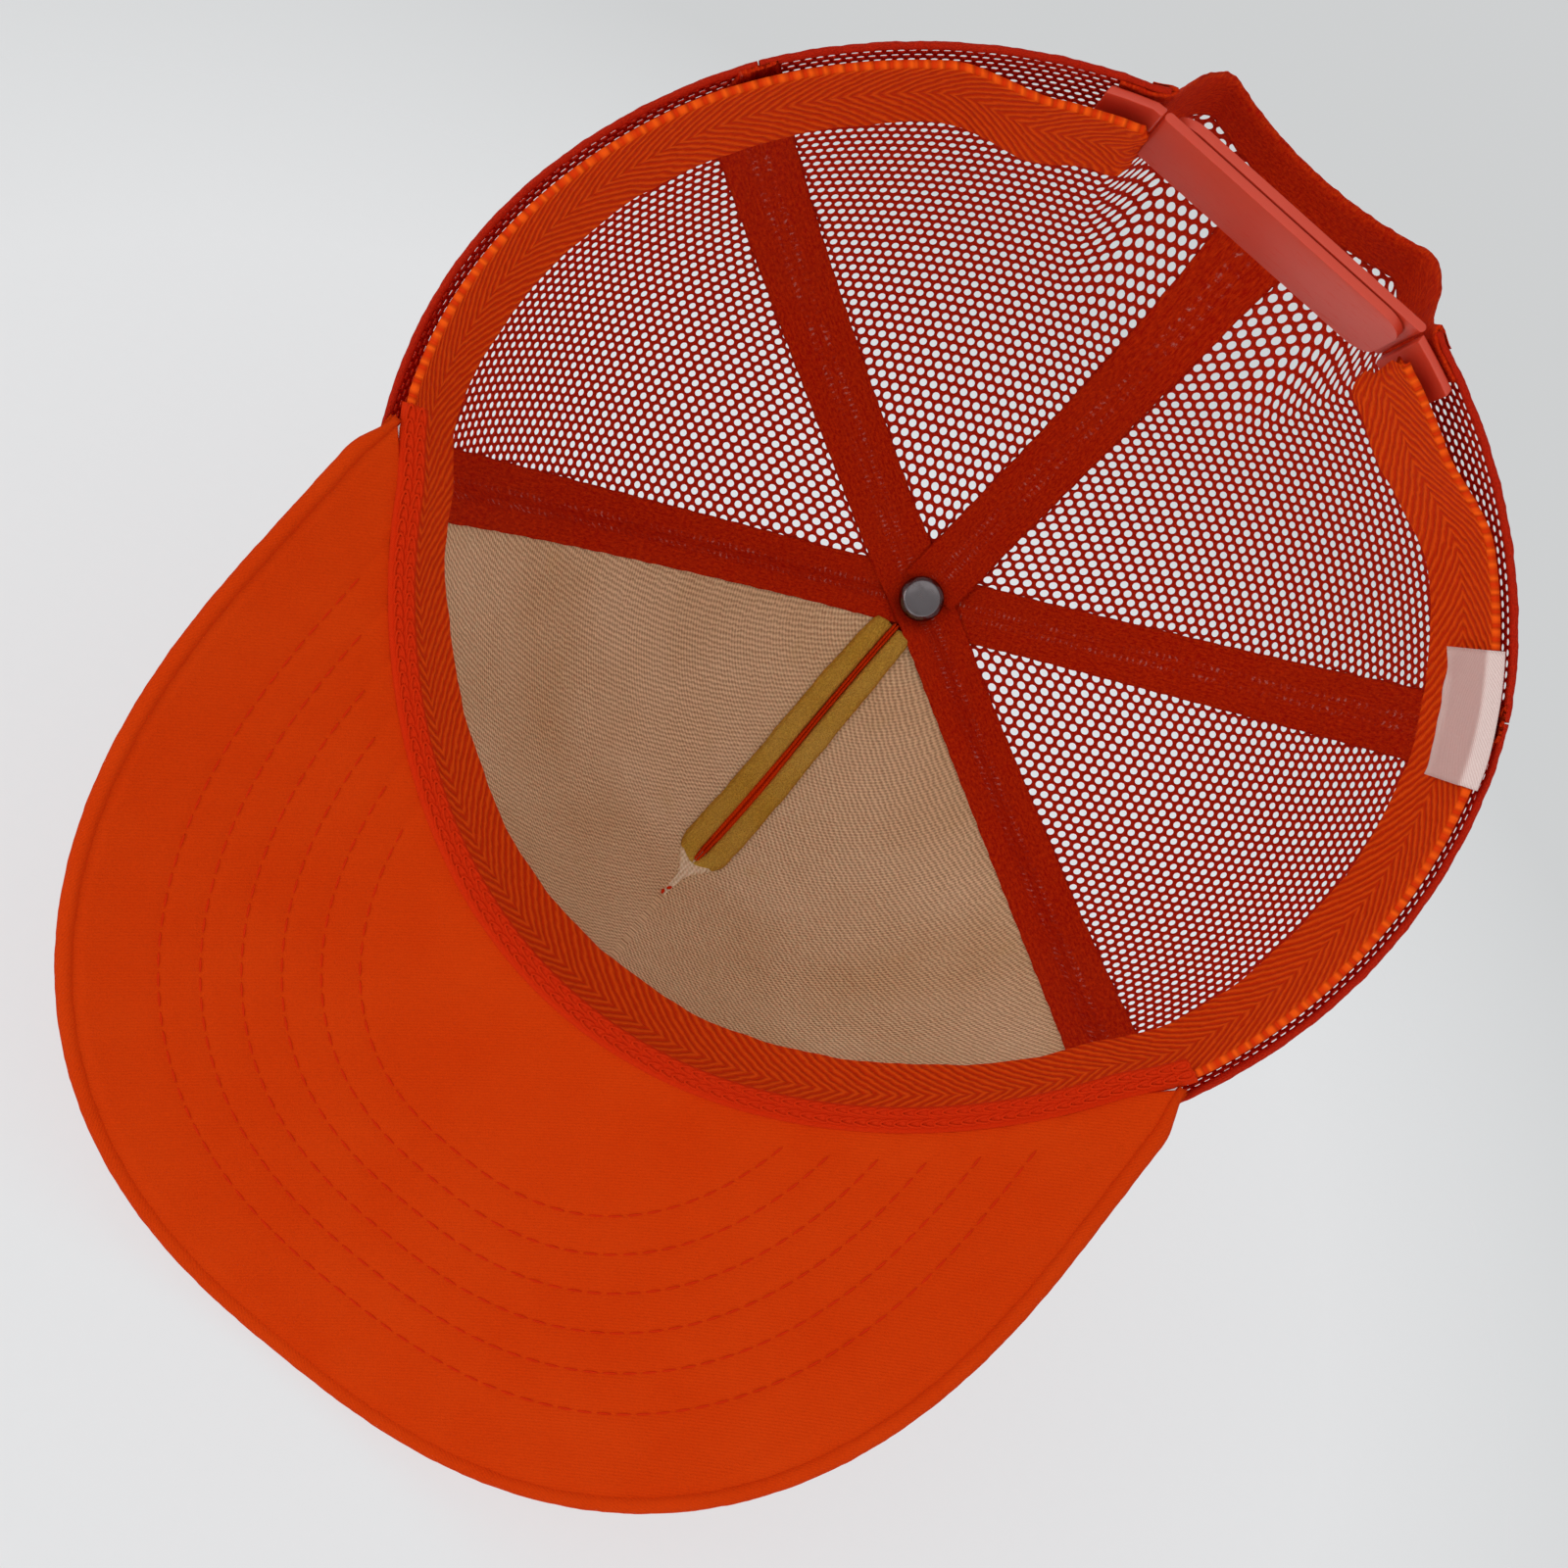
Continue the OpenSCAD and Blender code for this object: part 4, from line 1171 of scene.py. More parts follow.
@dataclass
class MeshCrown:
    """The four netting gores and the stitching that shows outside their seams."""

    def gores(self) -> list[NetGore]:
        """Returns the four gores."""
        f, s = SHAPE.seam_front, SHAPE.seam_side
        return [
            NetGore("mesh_left_side", f, s),
            NetGore("mesh_left_rear", s, 180, opening=True),
            NetGore("mesh_right_rear", -180, -s, opening=True),
            NetGore("mesh_right_side", -s, -f),
        ]

    def stitches(self) -> Surface:
        """Returns twin topstitching each side of the side seams and the rear seam."""
        rows = []
        for edge in (-SHAPE.seam_side, SHAPE.seam_side, 180.0):
            low = 0.02 if abs(edge) < 170 else float(SHAPE.climb(180, SHAPE.arch_h + 6))
            for off in (-1.7, 1.7):
                t = np.linspace(low, 0.93, 150)
                a = edge + np.degrees(off / np.maximum(SHAPE.plan_r(edge, t), 6))
                rows.append(stitch_row(SHAPE.crown(a, t, 0.05), SHAPE.normal(a, t), 2.2, 0.5, 0.42, 0.34))
        return rows[0].joined(*rows[1:])

    def build(self) -> None:
        """Makes the gores and their stitches."""
        for gore in self.gores():
            make_piece(gore.name + "_net", gore.surface(), NET_YARN.material(), "cap", gore.name)
        make_piece("mesh_seam_stitches", self.stitches(), THREAD.material(), "cap")


# -------------------------------------------------------------------- tapes


@dataclass
class SeamTapes:
    """The two long tapes that cross at the top, the rear tape and the opening's binding."""

    width: float = 13.6
    thick: float = 0.75
    gap: float = 0.15

    def depth(self, a: Array, r: Array, lift: float) -> Array:
        """Returns the depth of a tape's outer face: it steps from the lining down to the mesh."""
        off = r * sin_d(np.clip(np.abs(a) - SHAPE.seam_front, -90, 90))
        step = (SHAPE.lining_in - SHAPE.mesh_t) * (1 - smooth_step((off + 2.9) / 5))
        rise = lift * (1 - smooth_step((r - 15.5) / 8))
        return SHAPE.mesh_t + self.gap + step * smooth_step((r - 4) / 5) + rise

    def point(self, a0: float, t: Array, s: Array, lift: float, d: Array) -> Array:
        """Returns a point on the tape that runs up angle a0, at climb t and sideways s."""
        r = SHAPE.plan_r(a0, t)
        k = 1 - smooth_step((r - 12) / 30)
        a = (a0 + np.degrees(np.arctan2(s, np.maximum(0.001, r))) + 180) % 360 - 180
        q = np.sqrt(r * r + k * k * s * s)
        return SHAPE.crown(a, SHAPE.climb_r(a, q), self.depth(a, q, lift) + d)

    def section(self, s: Array, run: Array, seed: int) -> tuple[Array, Array]:
        """Returns the tape's two faces: thin frayed edges, a puffed middle, stitched grooves."""
        edge = np.abs(2 * s / self.width)
        thin = 0.45 * edge**8
        groove = 0.16 * np.exp(-(((np.abs(s) - 1.25) / 0.5) ** 2))
        nap = 0.05 * ripple(run * 1.0 + s * 3, seed, 2.9) + 0.06 * ripple(run, seed + 1, 11.0)
        return 0.02 + 0 * edge, self.thick * (1 - thin) - groove + nap

    def strip(
        self, columns: Array, rows_t: Array, make: Callable, seed: int, length: float
    ) -> Surface:
        """Returns a tape from its rows of climb.

        Args:
            columns: Sideways positions.
            rows_t: Climb of each row.
            make: Function of sideways place and depth that returns points.
            seed: Seed of the nap.
            length: Length of the tape, for the cloth coordinates.
        """
        run = np.linspace(0, length, len(rows_t))[:, None]
        s = columns[None] + 0.14 * ripple(run, seed + 5, 7.0) * np.sign(columns[None]) * (
            np.abs(columns[None]) > self.width * 0.49
        )
        out_d, in_d = self.section(columns[None] + 0 * run, run, seed)
        outer, inner = make(s, out_d), make(s, in_d)
        flat = np.stack(np.broadcast_arrays(run, columns[None]), -1)
        return shell(outer, inner, flat)

    def long_tape(self, a0: float, lift: float, seed: int) -> Surface:
        """Returns the tape over the top from the rim at a0 to the rim opposite."""
        n = 130
        far = a0 - 180 if a0 > 0 else a0 + 180
        v = np.minimum(np.arange(2 * n + 1), 2 * n - np.arange(2 * n + 1)) / n
        t = (1 - (1 - 0.012) * (1 - v) ** 1.5)[:, None]
        first = (np.arange(2 * n + 1) <= n)[:, None, None]

        def make(s: Array, d: Array) -> Array:
            """Returns both halves joined at the top."""
            here = self.point(a0, t, s, lift, d)
            there = self.point(far, t, -s, lift, d)
            return np.where(first, here, there)

        columns = np.linspace(-0.5, 0.5, 33) * self.width
        return self.strip(columns, t, make, seed, 300.0)

    def rear_tape(self, seed: int) -> Surface:
        """Returns the short tape from above the opening to the top."""
        t0 = float(SHAPE.climb(180.0, SHAPE.arch_h + 9.8))
        t1 = float(SHAPE.climb_r(np.array(180.0), np.array(2.6)))
        v = np.linspace(0, 1, 130)
        t = (t1 - (t1 - t0) * (1 - v) ** 1.5)[:, None]
        lift = 2 * (self.thick + 2 * self.gap)
        columns = np.linspace(-0.5, 0.5, 33) * self.width
        return self.strip(columns, t, lambda s, d: self.point(180.0, t, s, lift, d), seed, 110.0)

    def binding(self) -> Surface:
        """Returns the binding round the rear opening: inside band, rolled edge, narrow outside fold.

        A row follows the half-moon edge; a column runs from the inside band, round the edge, to
        the outside.
        """
        v = np.linspace(0.002, 0.998, 220)[:, None]
        inside, outside = np.linspace(0.84, 0.06, 12), np.linspace(0.04, 0.34, 5)
        prof_q = np.concatenate([inside, [-0.06, -0.10, -0.06], outside])
        prof_d = np.concatenate([np.full(12, 1.9), [1.35, 0.6, 0.0], np.linspace(-0.22, -0.12, 5)])
        puff = np.concatenate([0.15 * np.sin(np.linspace(0, np.pi, 12)), np.zeros(8)])
        q = prof_q[None] + 0.012 * ripple(v * 130, 12, 8.0)
        d = prof_d[None] + puff[None] + 0.10 * ripple(v * 130 + q * 9, 14, 5.0)

        def at(q: Array, d: Array) -> Array:
            """Returns points at a share q across the binding and depth d."""
            w = -(SHAPE.arch_half + 6.4 * q) * np.cos(np.pi * v)
            a = np.where(w >= 0, 180 - np.maximum(0.01, w), -180 - np.minimum(-0.01, w))
            z = np.maximum(0.4, (SHAPE.arch_h + 10 * q) * np.sin(np.pi * v))
            return SHAPE.wall(a, z, d)

        back = np.where(prof_d > 1.0, d - 0.5, np.where(prof_d < 0.0, d + 0.18, d * 0 + 0.75))
        inner = at(q + 0.05 * (np.abs(prof_q) < 0.2), back)
        flat = np.stack(np.broadcast_arrays(v * 150, q * 10), -1)
        return shell(at(q, d), inner, flat)

    def build(self) -> None:
        """Makes the tapes."""
        skin = TAPE_CLOTH.material()
        f = SHAPE.seam_front
        lift = self.thick + 2 * self.gap
        made = [
            ("tape_left_front_to_right", self.long_tape(f, 0.0, 40)),
            ("tape_right_front_to_left", self.long_tape(-f, lift, 50)),
            ("tape_rear", self.rear_tape(60)),
        ]
        for name, surface in made:
            make_piece(name + "_cloth", surface, skin, "cap", name)
        edge = EDGE_CLOTH.material()
        make_piece("arch_binding_cloth", self.binding(), edge, "cap", "arch_binding")


# ---------------------------------------------------------------- sweatband


@dataclass
class Sweatband:
    """Herringbone sweatband, its chain-stitched braid and the folded label."""

    height: float = 30.0
    thick: float = 1.4
    lean: float = 1.3
    end: float = 160.5
    braid_w: float = 3.7
    label_from: float = -127.0
    label_to: float = -112.0
    label_top: float = 19.0

    def foot(self, a: Array) -> Array:
        """Returns the lowest height of the band."""
        r = SHAPE.rim_at(a) - 4.6
        under = SHAPE.visor_at(r * sin_d(a), -r * cos_d(a)) - SHAPE.visor_half_t
        return np.maximum(0.9, under * smooth_step((122 - np.abs(a)) / 52))

    def depth(self, a: Array) -> Array:
        """Returns the depth of its outer face at its foot."""
        near = np.abs(a)
        return 3.1 + 2.5 * (1 - smooth_step((near - 61) / 11)) + 3.9 * smooth_step((near - 138) / 12)

    def band(self) -> Surface:
        """Returns the band: a flat loop in section, rolled at its top, waving towards its ends.

        Across, a column climbs the outer face, goes round a roll of 1.1 radius at the top and
        comes down the inner face; along, the top waves more than the sewn foot.
        """
        a = np.linspace(-self.end, self.end, 560)[:, None]
        up = np.linspace(0.0, self.height - 1.1, 16)
        f = np.linspace(180, 0, 9)
        roll_v = self.height - 1.1 + 1.1 * sin_d(f)
        roll_d = self.thick / 2 - 0.85 * cos_d(180 - f)
        down = up[::-1]
        v = np.concatenate([up, roll_v[1:-1], down])[None]
        d = np.concatenate([np.zeros(16), roll_d[1:-1], np.full(16, self.thick)])[None]
        ease_in, ease_out = np.linspace(0, -0.15, 4), np.linspace(0.15, 0, 4)
        roll_fat = np.concatenate([np.zeros(12), ease_in, np.zeros(7), ease_out, np.zeros(12)])
        run = np.radians(a) * 90
        loose = smooth_step((np.abs(a) - 128) / 20)
        share = v / self.height
        wave = (0.30 + 0.9 * loose) * share**1.5 * ripple(run, 71, 46.0)
        wave = wave + 0.12 * share * ripple(run, 73, 13.0)
        frill = 0.5 * loose * (1 - share) ** 2 * ripple(run, 75, 9.0)
        lean = self.lean * (1 - smooth_step((np.abs(a) - 42) / 14)) * share
        tip = 0.8 * smooth_step((np.abs(a) - 153) / 7) * ripple(v + 0 * a, 77, 17.0)
        ang = a + tip * np.sign(a)
        depth = self.depth(a) + lean + d + roll_fat[None] + np.maximum(-0.9, wave)
        z = self.foot(a) + v + frill * 0.4
        grid = SHAPE.wall(ang, z, depth)
        flat = np.stack(np.broadcast_arrays(run, v + 0 * run), -1)
        n, m = grid.shape[:2]
        caps = [np.arange(m)[None], (np.arange(m)[::-1] + (n - 1) * m)[None]]
        body = grid_quads(n, m, wrap_m=True)
        return Surface(grid.reshape(-1, 3), [body, *caps], flat.reshape(-1, 2))

    def braid_line(self, a: Array, share: float, drop: float) -> Array:
        """Returns points along the braid at a share of its width and a drop below the band."""
        p = SHAPE.wall(a, self.foot(a), self.depth(a) + 0.1 + self.braid_w * share)
        p[..., 2] = self.foot(a) - 0.15 - drop
        return p

    def braid(self) -> Surface:
        """Returns the braid: a soft tape with two rows of interlocked chain links."""
        a = np.linspace(-70, 70, 240)[:, None]
        q = np.linspace(-0.22, 1, 9)[None]
        p = SHAPE.wall(a, self.foot(a), self.depth(a) + 0.1 + self.braid_w * q)
        z0 = self.foot(a) - 0.15
        low, high = p.copy(), p.copy()
        low[..., 2] = z0 - 0.45 - 0.25 * (1 - (2 * q - 1) ** 4) + 0.05 * ripple(a * 2, 81, 3.0)
        high[..., 2] = z0 + 0 * q
        flat = np.stack(np.broadcast_arrays(np.radians(a) * 88, q * self.braid_w), -1)
        base = shell(high, low, flat)
        return base.joined(*[self.chain(share) for share in (0.25, 0.75)])

    def chain(self, share: float) -> Surface:
        """Returns one row of chain stitch: overlapping flat loops of thread.

        Each link is a closed oval of eight points carried by a four-sided section.
        """
        a = np.linspace(-69, 69, 500)
        line = resample(self.braid_line(a, share, 0.75), 2.3)
        along = unit(np.gradient(line, axis=0))
        down = np.broadcast_to([0.0, 0.0, -1.0], line.shape)
        side = unit(np.cross(along, down))
        f = np.linspace(0, 2 * np.pi, 10, endpoint=False)
        g = np.linspace(0, 2 * np.pi, 5, endpoint=False)
        cx, cy = 1.55 * np.cos(f), 0.62 * np.sin(f) * (1 - 0.35 * np.cos(f))
        lift = 0.16 * np.cos(f)
        fat = 0.27
        radial = np.stack([np.cos(f), np.sin(f)], -1)
        x = cx[:, None] + fat * np.cos(g)[None] * radial[:, :1]
        y = cy[:, None] + fat * np.cos(g)[None] * radial[:, 1:]
        z = lift[:, None] + fat * np.sin(g)[None]
        form = np.stack([x, y, z], -1).reshape(-1, 3)
        points = line[:, None] + (
            form[None, :, :1] * along[:, None]
            + form[None, :, 1:2] * side[:, None]
            + form[None, :, 2:] * down[:, None]
        )
        i, j = np.meshgrid(np.arange(10), np.arange(5), indexing="ij")
        quad = np.stack(
            [i * 5 + j, ((i + 1) % 10) * 5 + j, ((i + 1) % 10) * 5 + (j + 1) % 5, i * 5 + (j + 1) % 5], -1
        ).reshape(-1, 4)
        start = (np.arange(len(line)) * 50)[:, None, None]
        faces = (quad[None] + start).reshape(-1, 4)
        flat = np.broadcast_to(form[None, :, :2], (len(line), 50, 2)).reshape(-1, 2).copy()
        return Surface(points.reshape(-1, 3), [faces], flat)

    def label(self) -> tuple[Surface, float]:
        """Returns the folded label over the band, and its flat area in square millimetres.

        A column goes under the band's foot, up its inner face and round a soft fold at the top.
        """
        a = np.linspace(self.label_from, self.label_to, 26)[:, None]
        off = self.depth(a) + self.thick + 0.62
        low = self.foot(a) - 0.15
        q = np.linspace(0, 1, 40)[None]
        z = low + (self.label_top - low) * smooth_step((q - 0.18) / 0.82) ** 0.8
        ease = smooth_step(q / 0.24)
        curl = 0.5 * smooth_step((q - 0.8) / 0.2) * (1 + 0.5 * ripple(a * 1.6, 92, 17.0))
        depth = 2.3 + (off - 2.3) * ease + 0.18 * ripple(a * 1.6 + q * 8, 91, 15.0) * q + curl
        under = 0.35 * (1 - smooth_step((q - 0.15) / 0.15))
        inner = SHAPE.wall(a, z - under, depth + 0.30 * smooth_step(q / 0.2))
        outer = SHAPE.wall(a, z, depth)
        flat = np.stack(np.broadcast_arrays(np.radians(a) * 90, q * 26), -1)
        rows = np.linalg.norm(np.diff(inner, axis=1), axis=-1).sum(1).mean()
        cols = np.linalg.norm(np.diff(inner, axis=0), axis=-1).sum(0).mean()
        return shell(outer, inner, flat), float(rows * cols)

    def build(self) -> None:
        """Makes the band, braid and label."""
        make_piece("sweatband_cloth", self.band(), BAND_CLOTH.material(), "cap", "sweatband")
        make_piece("sweatband_chain_braid", self.braid(), THREAD.material(), "cap", "sweatband_braid")
        surface, area = self.label()
        label = make_piece("folded_label", surface, LABEL_CLOTH.material(), "cap", "label")


# -------------------------------------------------------------------- visor


@dataclass
class Visor:
    """Cloth-covered visor: two covers, stitch rows and the rolled edge."""

    half: float = 87.7
    tip: float = 165.5
    wide: float = 64.0
    power: float = 2.4
    inset: float = 2.3
    root: float = 5.35
    cover: tuple[float, float] = (0.925, 1.525)
    roll_r: float = 1.5
    rows: tuple[float, ...] = (14.5, 20.4, 26.3, 32.2, 38.1, 44.0)

    def outline(self, u: Array, s: Array) -> Array:
        """Returns the outline drawn in by s: a superellipse in front of its widest line."""
        x = (self.half - s) * np.sign(u) * np.abs(sin_d(90 * u)) ** (2 / self.power)
        y = -self.wide - (self.tip - s - self.wide) * np.maximum(0, cos_d(90 * u)) ** (2 / self.power)
        return np.stack(np.broadcast_arrays(x, y), -1)

    def inner_edge(self, u: Array, s: float) -> Array:
        """Returns the edge sewn to the crown, s inside the rim."""
        a = 68 * u
        r = SHAPE.rim_at(a) - s + 1.9 * smooth_step((np.abs(a) - 56) / 12)
        return np.stack([r * sin_d(a), -r * cos_d(a)], -1)

    def inset_of(self, x: Array, y: Array) -> Array:
        """Returns how far inside the edge a point lies, by halving the range twenty times."""
        lo, hi = np.zeros_like(x), np.full_like(x, 80.0)
        fore = np.maximum(0, -y - self.wide)
        for _ in range(20):
            mid = (lo + hi) / 2
            level = (np.abs(x) / np.maximum(self.half - mid, 1)) ** self.power + (
                fore / np.maximum(self.tip - self.wide - mid, 1)
            ) ** self.power
            out = level > 1
            hi, lo = np.where(out, mid, hi), np.where(out, lo, mid)
        return lo

    def cover_sheet(self, side: int) -> Surface:
        """Returns one cover: a grid from crown to edge, puffed between its stitched grooves.

        Args:
            side: 1 for the top cover, -1 for the under cover.
        """
        u = np.linspace(-1, 1, 260)[:, None]
        u = np.sign(u) * np.abs(u) ** 0.97
        v = np.linspace(0, 1, 130)[None]
        p = self.inner_edge(u, self.root + (0.9 if side < 0 else 0.0))
        p = p + np.stack([2.2 * np.sign(u) * np.abs(u) ** 30, 0 * u], -1)
        q = self.outline(u, self.inset)
        xy = p + (q - p) * v[..., None]
        x, y = xy[..., 0], xy[..., 1]
        s = self.inset_of(x, y)
        groove = sum(np.exp(-(((s - row) / 0.75) ** 2)) for row in self.rows)
        edge = smooth_step((4.6 - s) / 1.6)
        puff = 0.20 * (1 - np.minimum(1, groove)) - 0.45 * edge
        puff = puff + 0.07 * ripple(x + 0.4 * y, 61, 7.0) * (1 - edge)
        mid = SHAPE.visor_at(x, y)
        outer = np.stack([x, y, mid + side * (self.cover[1] + puff - 0.12)], -1)
        inner = np.stack([x, y, mid + side * self.cover[0]], -1)
        return shell(outer, inner, xy)

    def row_path(self, s: float, side: int) -> tuple[Array, Array]:
        """Returns a stitch row s inside the edge and its normals, from crown to crown."""
        u = np.linspace(-1, 1, 400)
        curve = self.outline(u, s)
        x_end = self.half - s
        lead = np.linspace(0, 1, 60)[:, None]
        left = np.concatenate([np.full((60, 1), -x_end), -30 + (30 - self.wide) * lead], 1)
        right = np.concatenate([np.full((60, 1), x_end), -self.wide + (self.wide - 30) * lead], 1)
        xy = np.concatenate([left[:-1], curve, right[1:]])
        a = np.degrees(np.arctan2(xy[:, 0], -xy[:, 1]))
        keep = np.hypot(xy[:, 0], xy[:, 1]) > SHAPE.rim_at(a) - self.root + 1.5 + 2.8 * (side < 0)
        xy = xy[keep]
        z = SHAPE.visor_at(xy[:, 0], xy[:, 1]) + side * (self.cover[1] - 0.06)
        slope = 2 * SHAPE.visor_bend * xy[:, 0]
        normal = side * np.stack([slope, np.full(len(xy), -SHAPE.visor_slope), np.ones(len(xy))], -1)
        return np.concatenate([xy, z[:, None]], 1), unit(normal)

    def stitches(self, side: int) -> Surface:
        """Returns the visor's stitch rows on one side."""
        made = [stitch_row(*self.row_path(s, side), 2.6, 0.7, 0.42, 0.36) for s in self.rows]
        return made[0].joined(*made[1:])

    def edge_roll(self) -> Surface:
        """Returns the rolled edge as a soft tube round the visor, flattened where it is sewn."""
        end = self.outline(np.array([1.0]), self.roll_r)[0]
        root = self.inner_edge(np.array([1.0]), self.root)[0] + np.array([2.3, 0.0])
        lead = np.linspace(0, 1, 30)[:, None]
        right = end + (root - end) * lead
        left = right[::-1] * np.array([-1.0, 1.0])
        arc = self.outline(np.linspace(-1, 1, 420), self.roll_r)
        xy = np.concatenate([left[:-1], arc, right[1:]])
        z = SHAPE.visor_at(xy[:, 0], xy[:, 1])
        path = resample(np.concatenate([xy, z[:, None]], 1), 0.9)
        along = unit(np.gradient(path, axis=0))
        up = np.broadcast_to([0.0, 0.0, 1.0], path.shape)
        out = unit(np.cross(along, up))
        run = arc_length(path)
        radius = self.roll_r * (1 + 0.035 * ripple(run, 65, 9.0) + 0.02 * ripple(run, 66, 3.0))
        ends = np.minimum(run, run[-1] - run)
        slim = smooth_step(ends / 9.0)
        path = path - np.sign(path[:, :1]) * np.array([[1.6, 0.0, 0.0]]) * (1 - slim[:, None])
        return tube(path, out, up, radius * (0.45 + 0.55 * slim), 18)

    def build(self) -> None:
        """Makes the covers, stitches and edge."""
        cloth = VISOR_CLOTH.material()
        for side, name in ((1, "visor_top_cover"), (-1, "visor_under_cover")):
            make_piece(name + "_cloth", self.cover_sheet(side), cloth, "cap", name)
            make_piece(name + "_stitches", self.stitches(side), THREAD.material(), "cap")
        make_piece("visor_rolled_edge", self.edge_roll(), cloth, "cap", "visor_edge_roll")
        dress_node("visor_board", BOARD_PLASTIC.material())


# ------------------------------------------------------- straps and hardware


def dress_node(node: str, material: bpy.types.Material) -> None:
    """Gives a CAD node that stays in view its finish."""
    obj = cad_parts[node]
    obj.data.materials.clear()
    obj.data.materials.append(material)


def softened_copy(
    node: str, name: str, material: bpy.types.Material, body: str, width: float
) -> bpy.types.Object:
    """Returns a copy of a CAD node with merged points and rounded edges.

    Args:
        node: The CAD node.
        name: Name of the copy.
        material: Its finish.
        body: Body that it rides on.
        width: Width of the rounding, in millimetres.
    """
    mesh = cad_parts[node].data.copy()
    mesh.name = name
    obj = bpy.data.objects.new(name, mesh)
    bpy.context.scene.collection.objects.link(obj)
    mesh.materials.clear()
    mesh.materials.append(material)
    weld = obj.modifiers.new("weld", "WELD")
    weld.merge_threshold = 0.002 * MM
    flat = obj.modifiers.new("flat_faces", "DECIMATE")
    flat.decimate_type = "DISSOLVE"
    flat.angle_limit = math.radians(2.0)
    bevel(obj, width)
    graph = bpy.context.evaluated_depsgraph_get()
    done = bpy.data.meshes.new_from_object(obj.evaluated_get(graph))
    obj.modifiers.clear()
    obj.data = done
    done.polygons.foreach_set("use_smooth", np.ones(len(done.polygons), bool))
    done.set_sharp_from_angle(angle=math.radians(50))
    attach(obj, body)
    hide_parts(node)
    LOG.info("%s: %d faces", name, len(done.polygons))
    return obj


@dataclass
class SnapStraps:
    """The two plastic straps with their sewn roots."""

    soft: float = 0.32

    def build(self) -> None:
        """Makes the straps and roots from the CAD shapes, with rounded moulded edges."""
        skin = STRAP_PLASTIC.material()
        for node, body in (
            ("strap_holes", "outer_strap"),
            ("strap_pegs", "inner_strap"),
            ("strap_holes_tab", "cap"),
            ("strap_pegs_tab", "cap"),
        ):
            softened_copy(node, node + "_moulded", skin, body, self.soft)


@dataclass
class TopButton:
    """The covered button on top and its rivet inside."""

    cover_r: float = 7.6
    cover_h: float = 4.4

    def lathe(self, centre: Vector, profile: Array, count: int = 72) -> Surface:
        """Returns a profile of (radius, height) turned about the vertical, poles closed."""
        f = np.linspace(0, 2 * np.pi, count, endpoint=False)
        r, z = profile[1:-1, 0], profile[1:-1, 1]
        x = centre[0] + r[:, None] * np.cos(f)[None]
        y = centre[1] + r[:, None] * np.sin(f)[None]
        zz = np.broadcast_to(centre[2] + z[:, None], x.shape)
        grid = np.stack([x, y, zz], -1)
        n = len(r)
        poles = np.array([[*centre[:2], centre[2] + profile[end, 1]] for end in (0, -1)])
        k = np.arange(count)
        k1 = (k + 1) % count
        first = np.stack([np.full(count, n * count), k, k1], -1)
        ring = (n - 1) * count
        last = np.stack([np.full(count, n * count + 1), ring + k1, ring + k], -1)
        flat = np.concatenate([(grid[..., :2] - np.array(centre[:2])).reshape(-1, 2), np.zeros((2, 2))])
        body = grid_quads(n, count, wrap_m=True)
        return Surface(np.concatenate([grid.reshape(-1, 3), poles]), [body, first, last], flat)

    def cover(self) -> Surface:
        """Returns the button's cloth cover: a dome tucked under at its rim."""
        lo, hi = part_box("button_cover")
        centre = (lo + hi) / 2 / MM
        centre[2] = lo[2] / MM
        f = np.linspace(90, 0, 22)
        dome = np.stack([self.cover_r * cos_d(f), self.cover_h * sin_d(f)], -1)
        tuck = np.array([[7.35, -0.12], [6.7, -0.05], [4.5, 0.1], [0.0, 0.12]])
        return self.lathe(centre, np.concatenate([dome, tuck]))

    def rivet(self) -> Surface:
        """Returns the rivet cap: a flat face, a bright bevel and a short turned side."""
        lo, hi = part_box("rivet_cap")
        centre = (lo + hi) / 2 / MM
        centre[2] = lo[2] / MM
        height, r = (hi[2] - lo[2]) / MM, (hi[0] - lo[0]) / 2 / MM
        profile = np.array(
            [
                [0.0, 0.10], [0.4, 0.10], [1.6, 0.09], [r - 1.45, 0.06], [r - 1.2, 0.0],
                [r - 1.05, 0.02], [r - 0.55, 0.30], [r - 0.22, 0.62], [r - 0.05, 1.0],
                [r, 1.3], [r, 1.9], [r - 0.1, height - 0.15], [r - 0.3, height], [0.0, height],
            ]
        )
        return self.lathe(centre, profile)

    def build(self) -> None:
        """Makes the button and rivet."""
        make_piece("button_cloth", self.cover(), FACE_CLOTH.material(), "cap", "button_cover")
        make_piece("rivet_plated_cap", self.rivet(), NICKEL_WITH_PAINTED_REFLECTION.material(), "cap", "rivet_cap")
        for node in ("button_shell", "button_post"):
            dress_node(node, NICKEL_WITH_PAINTED_REFLECTION.material())


# -------------------------------------------------------------------- studio


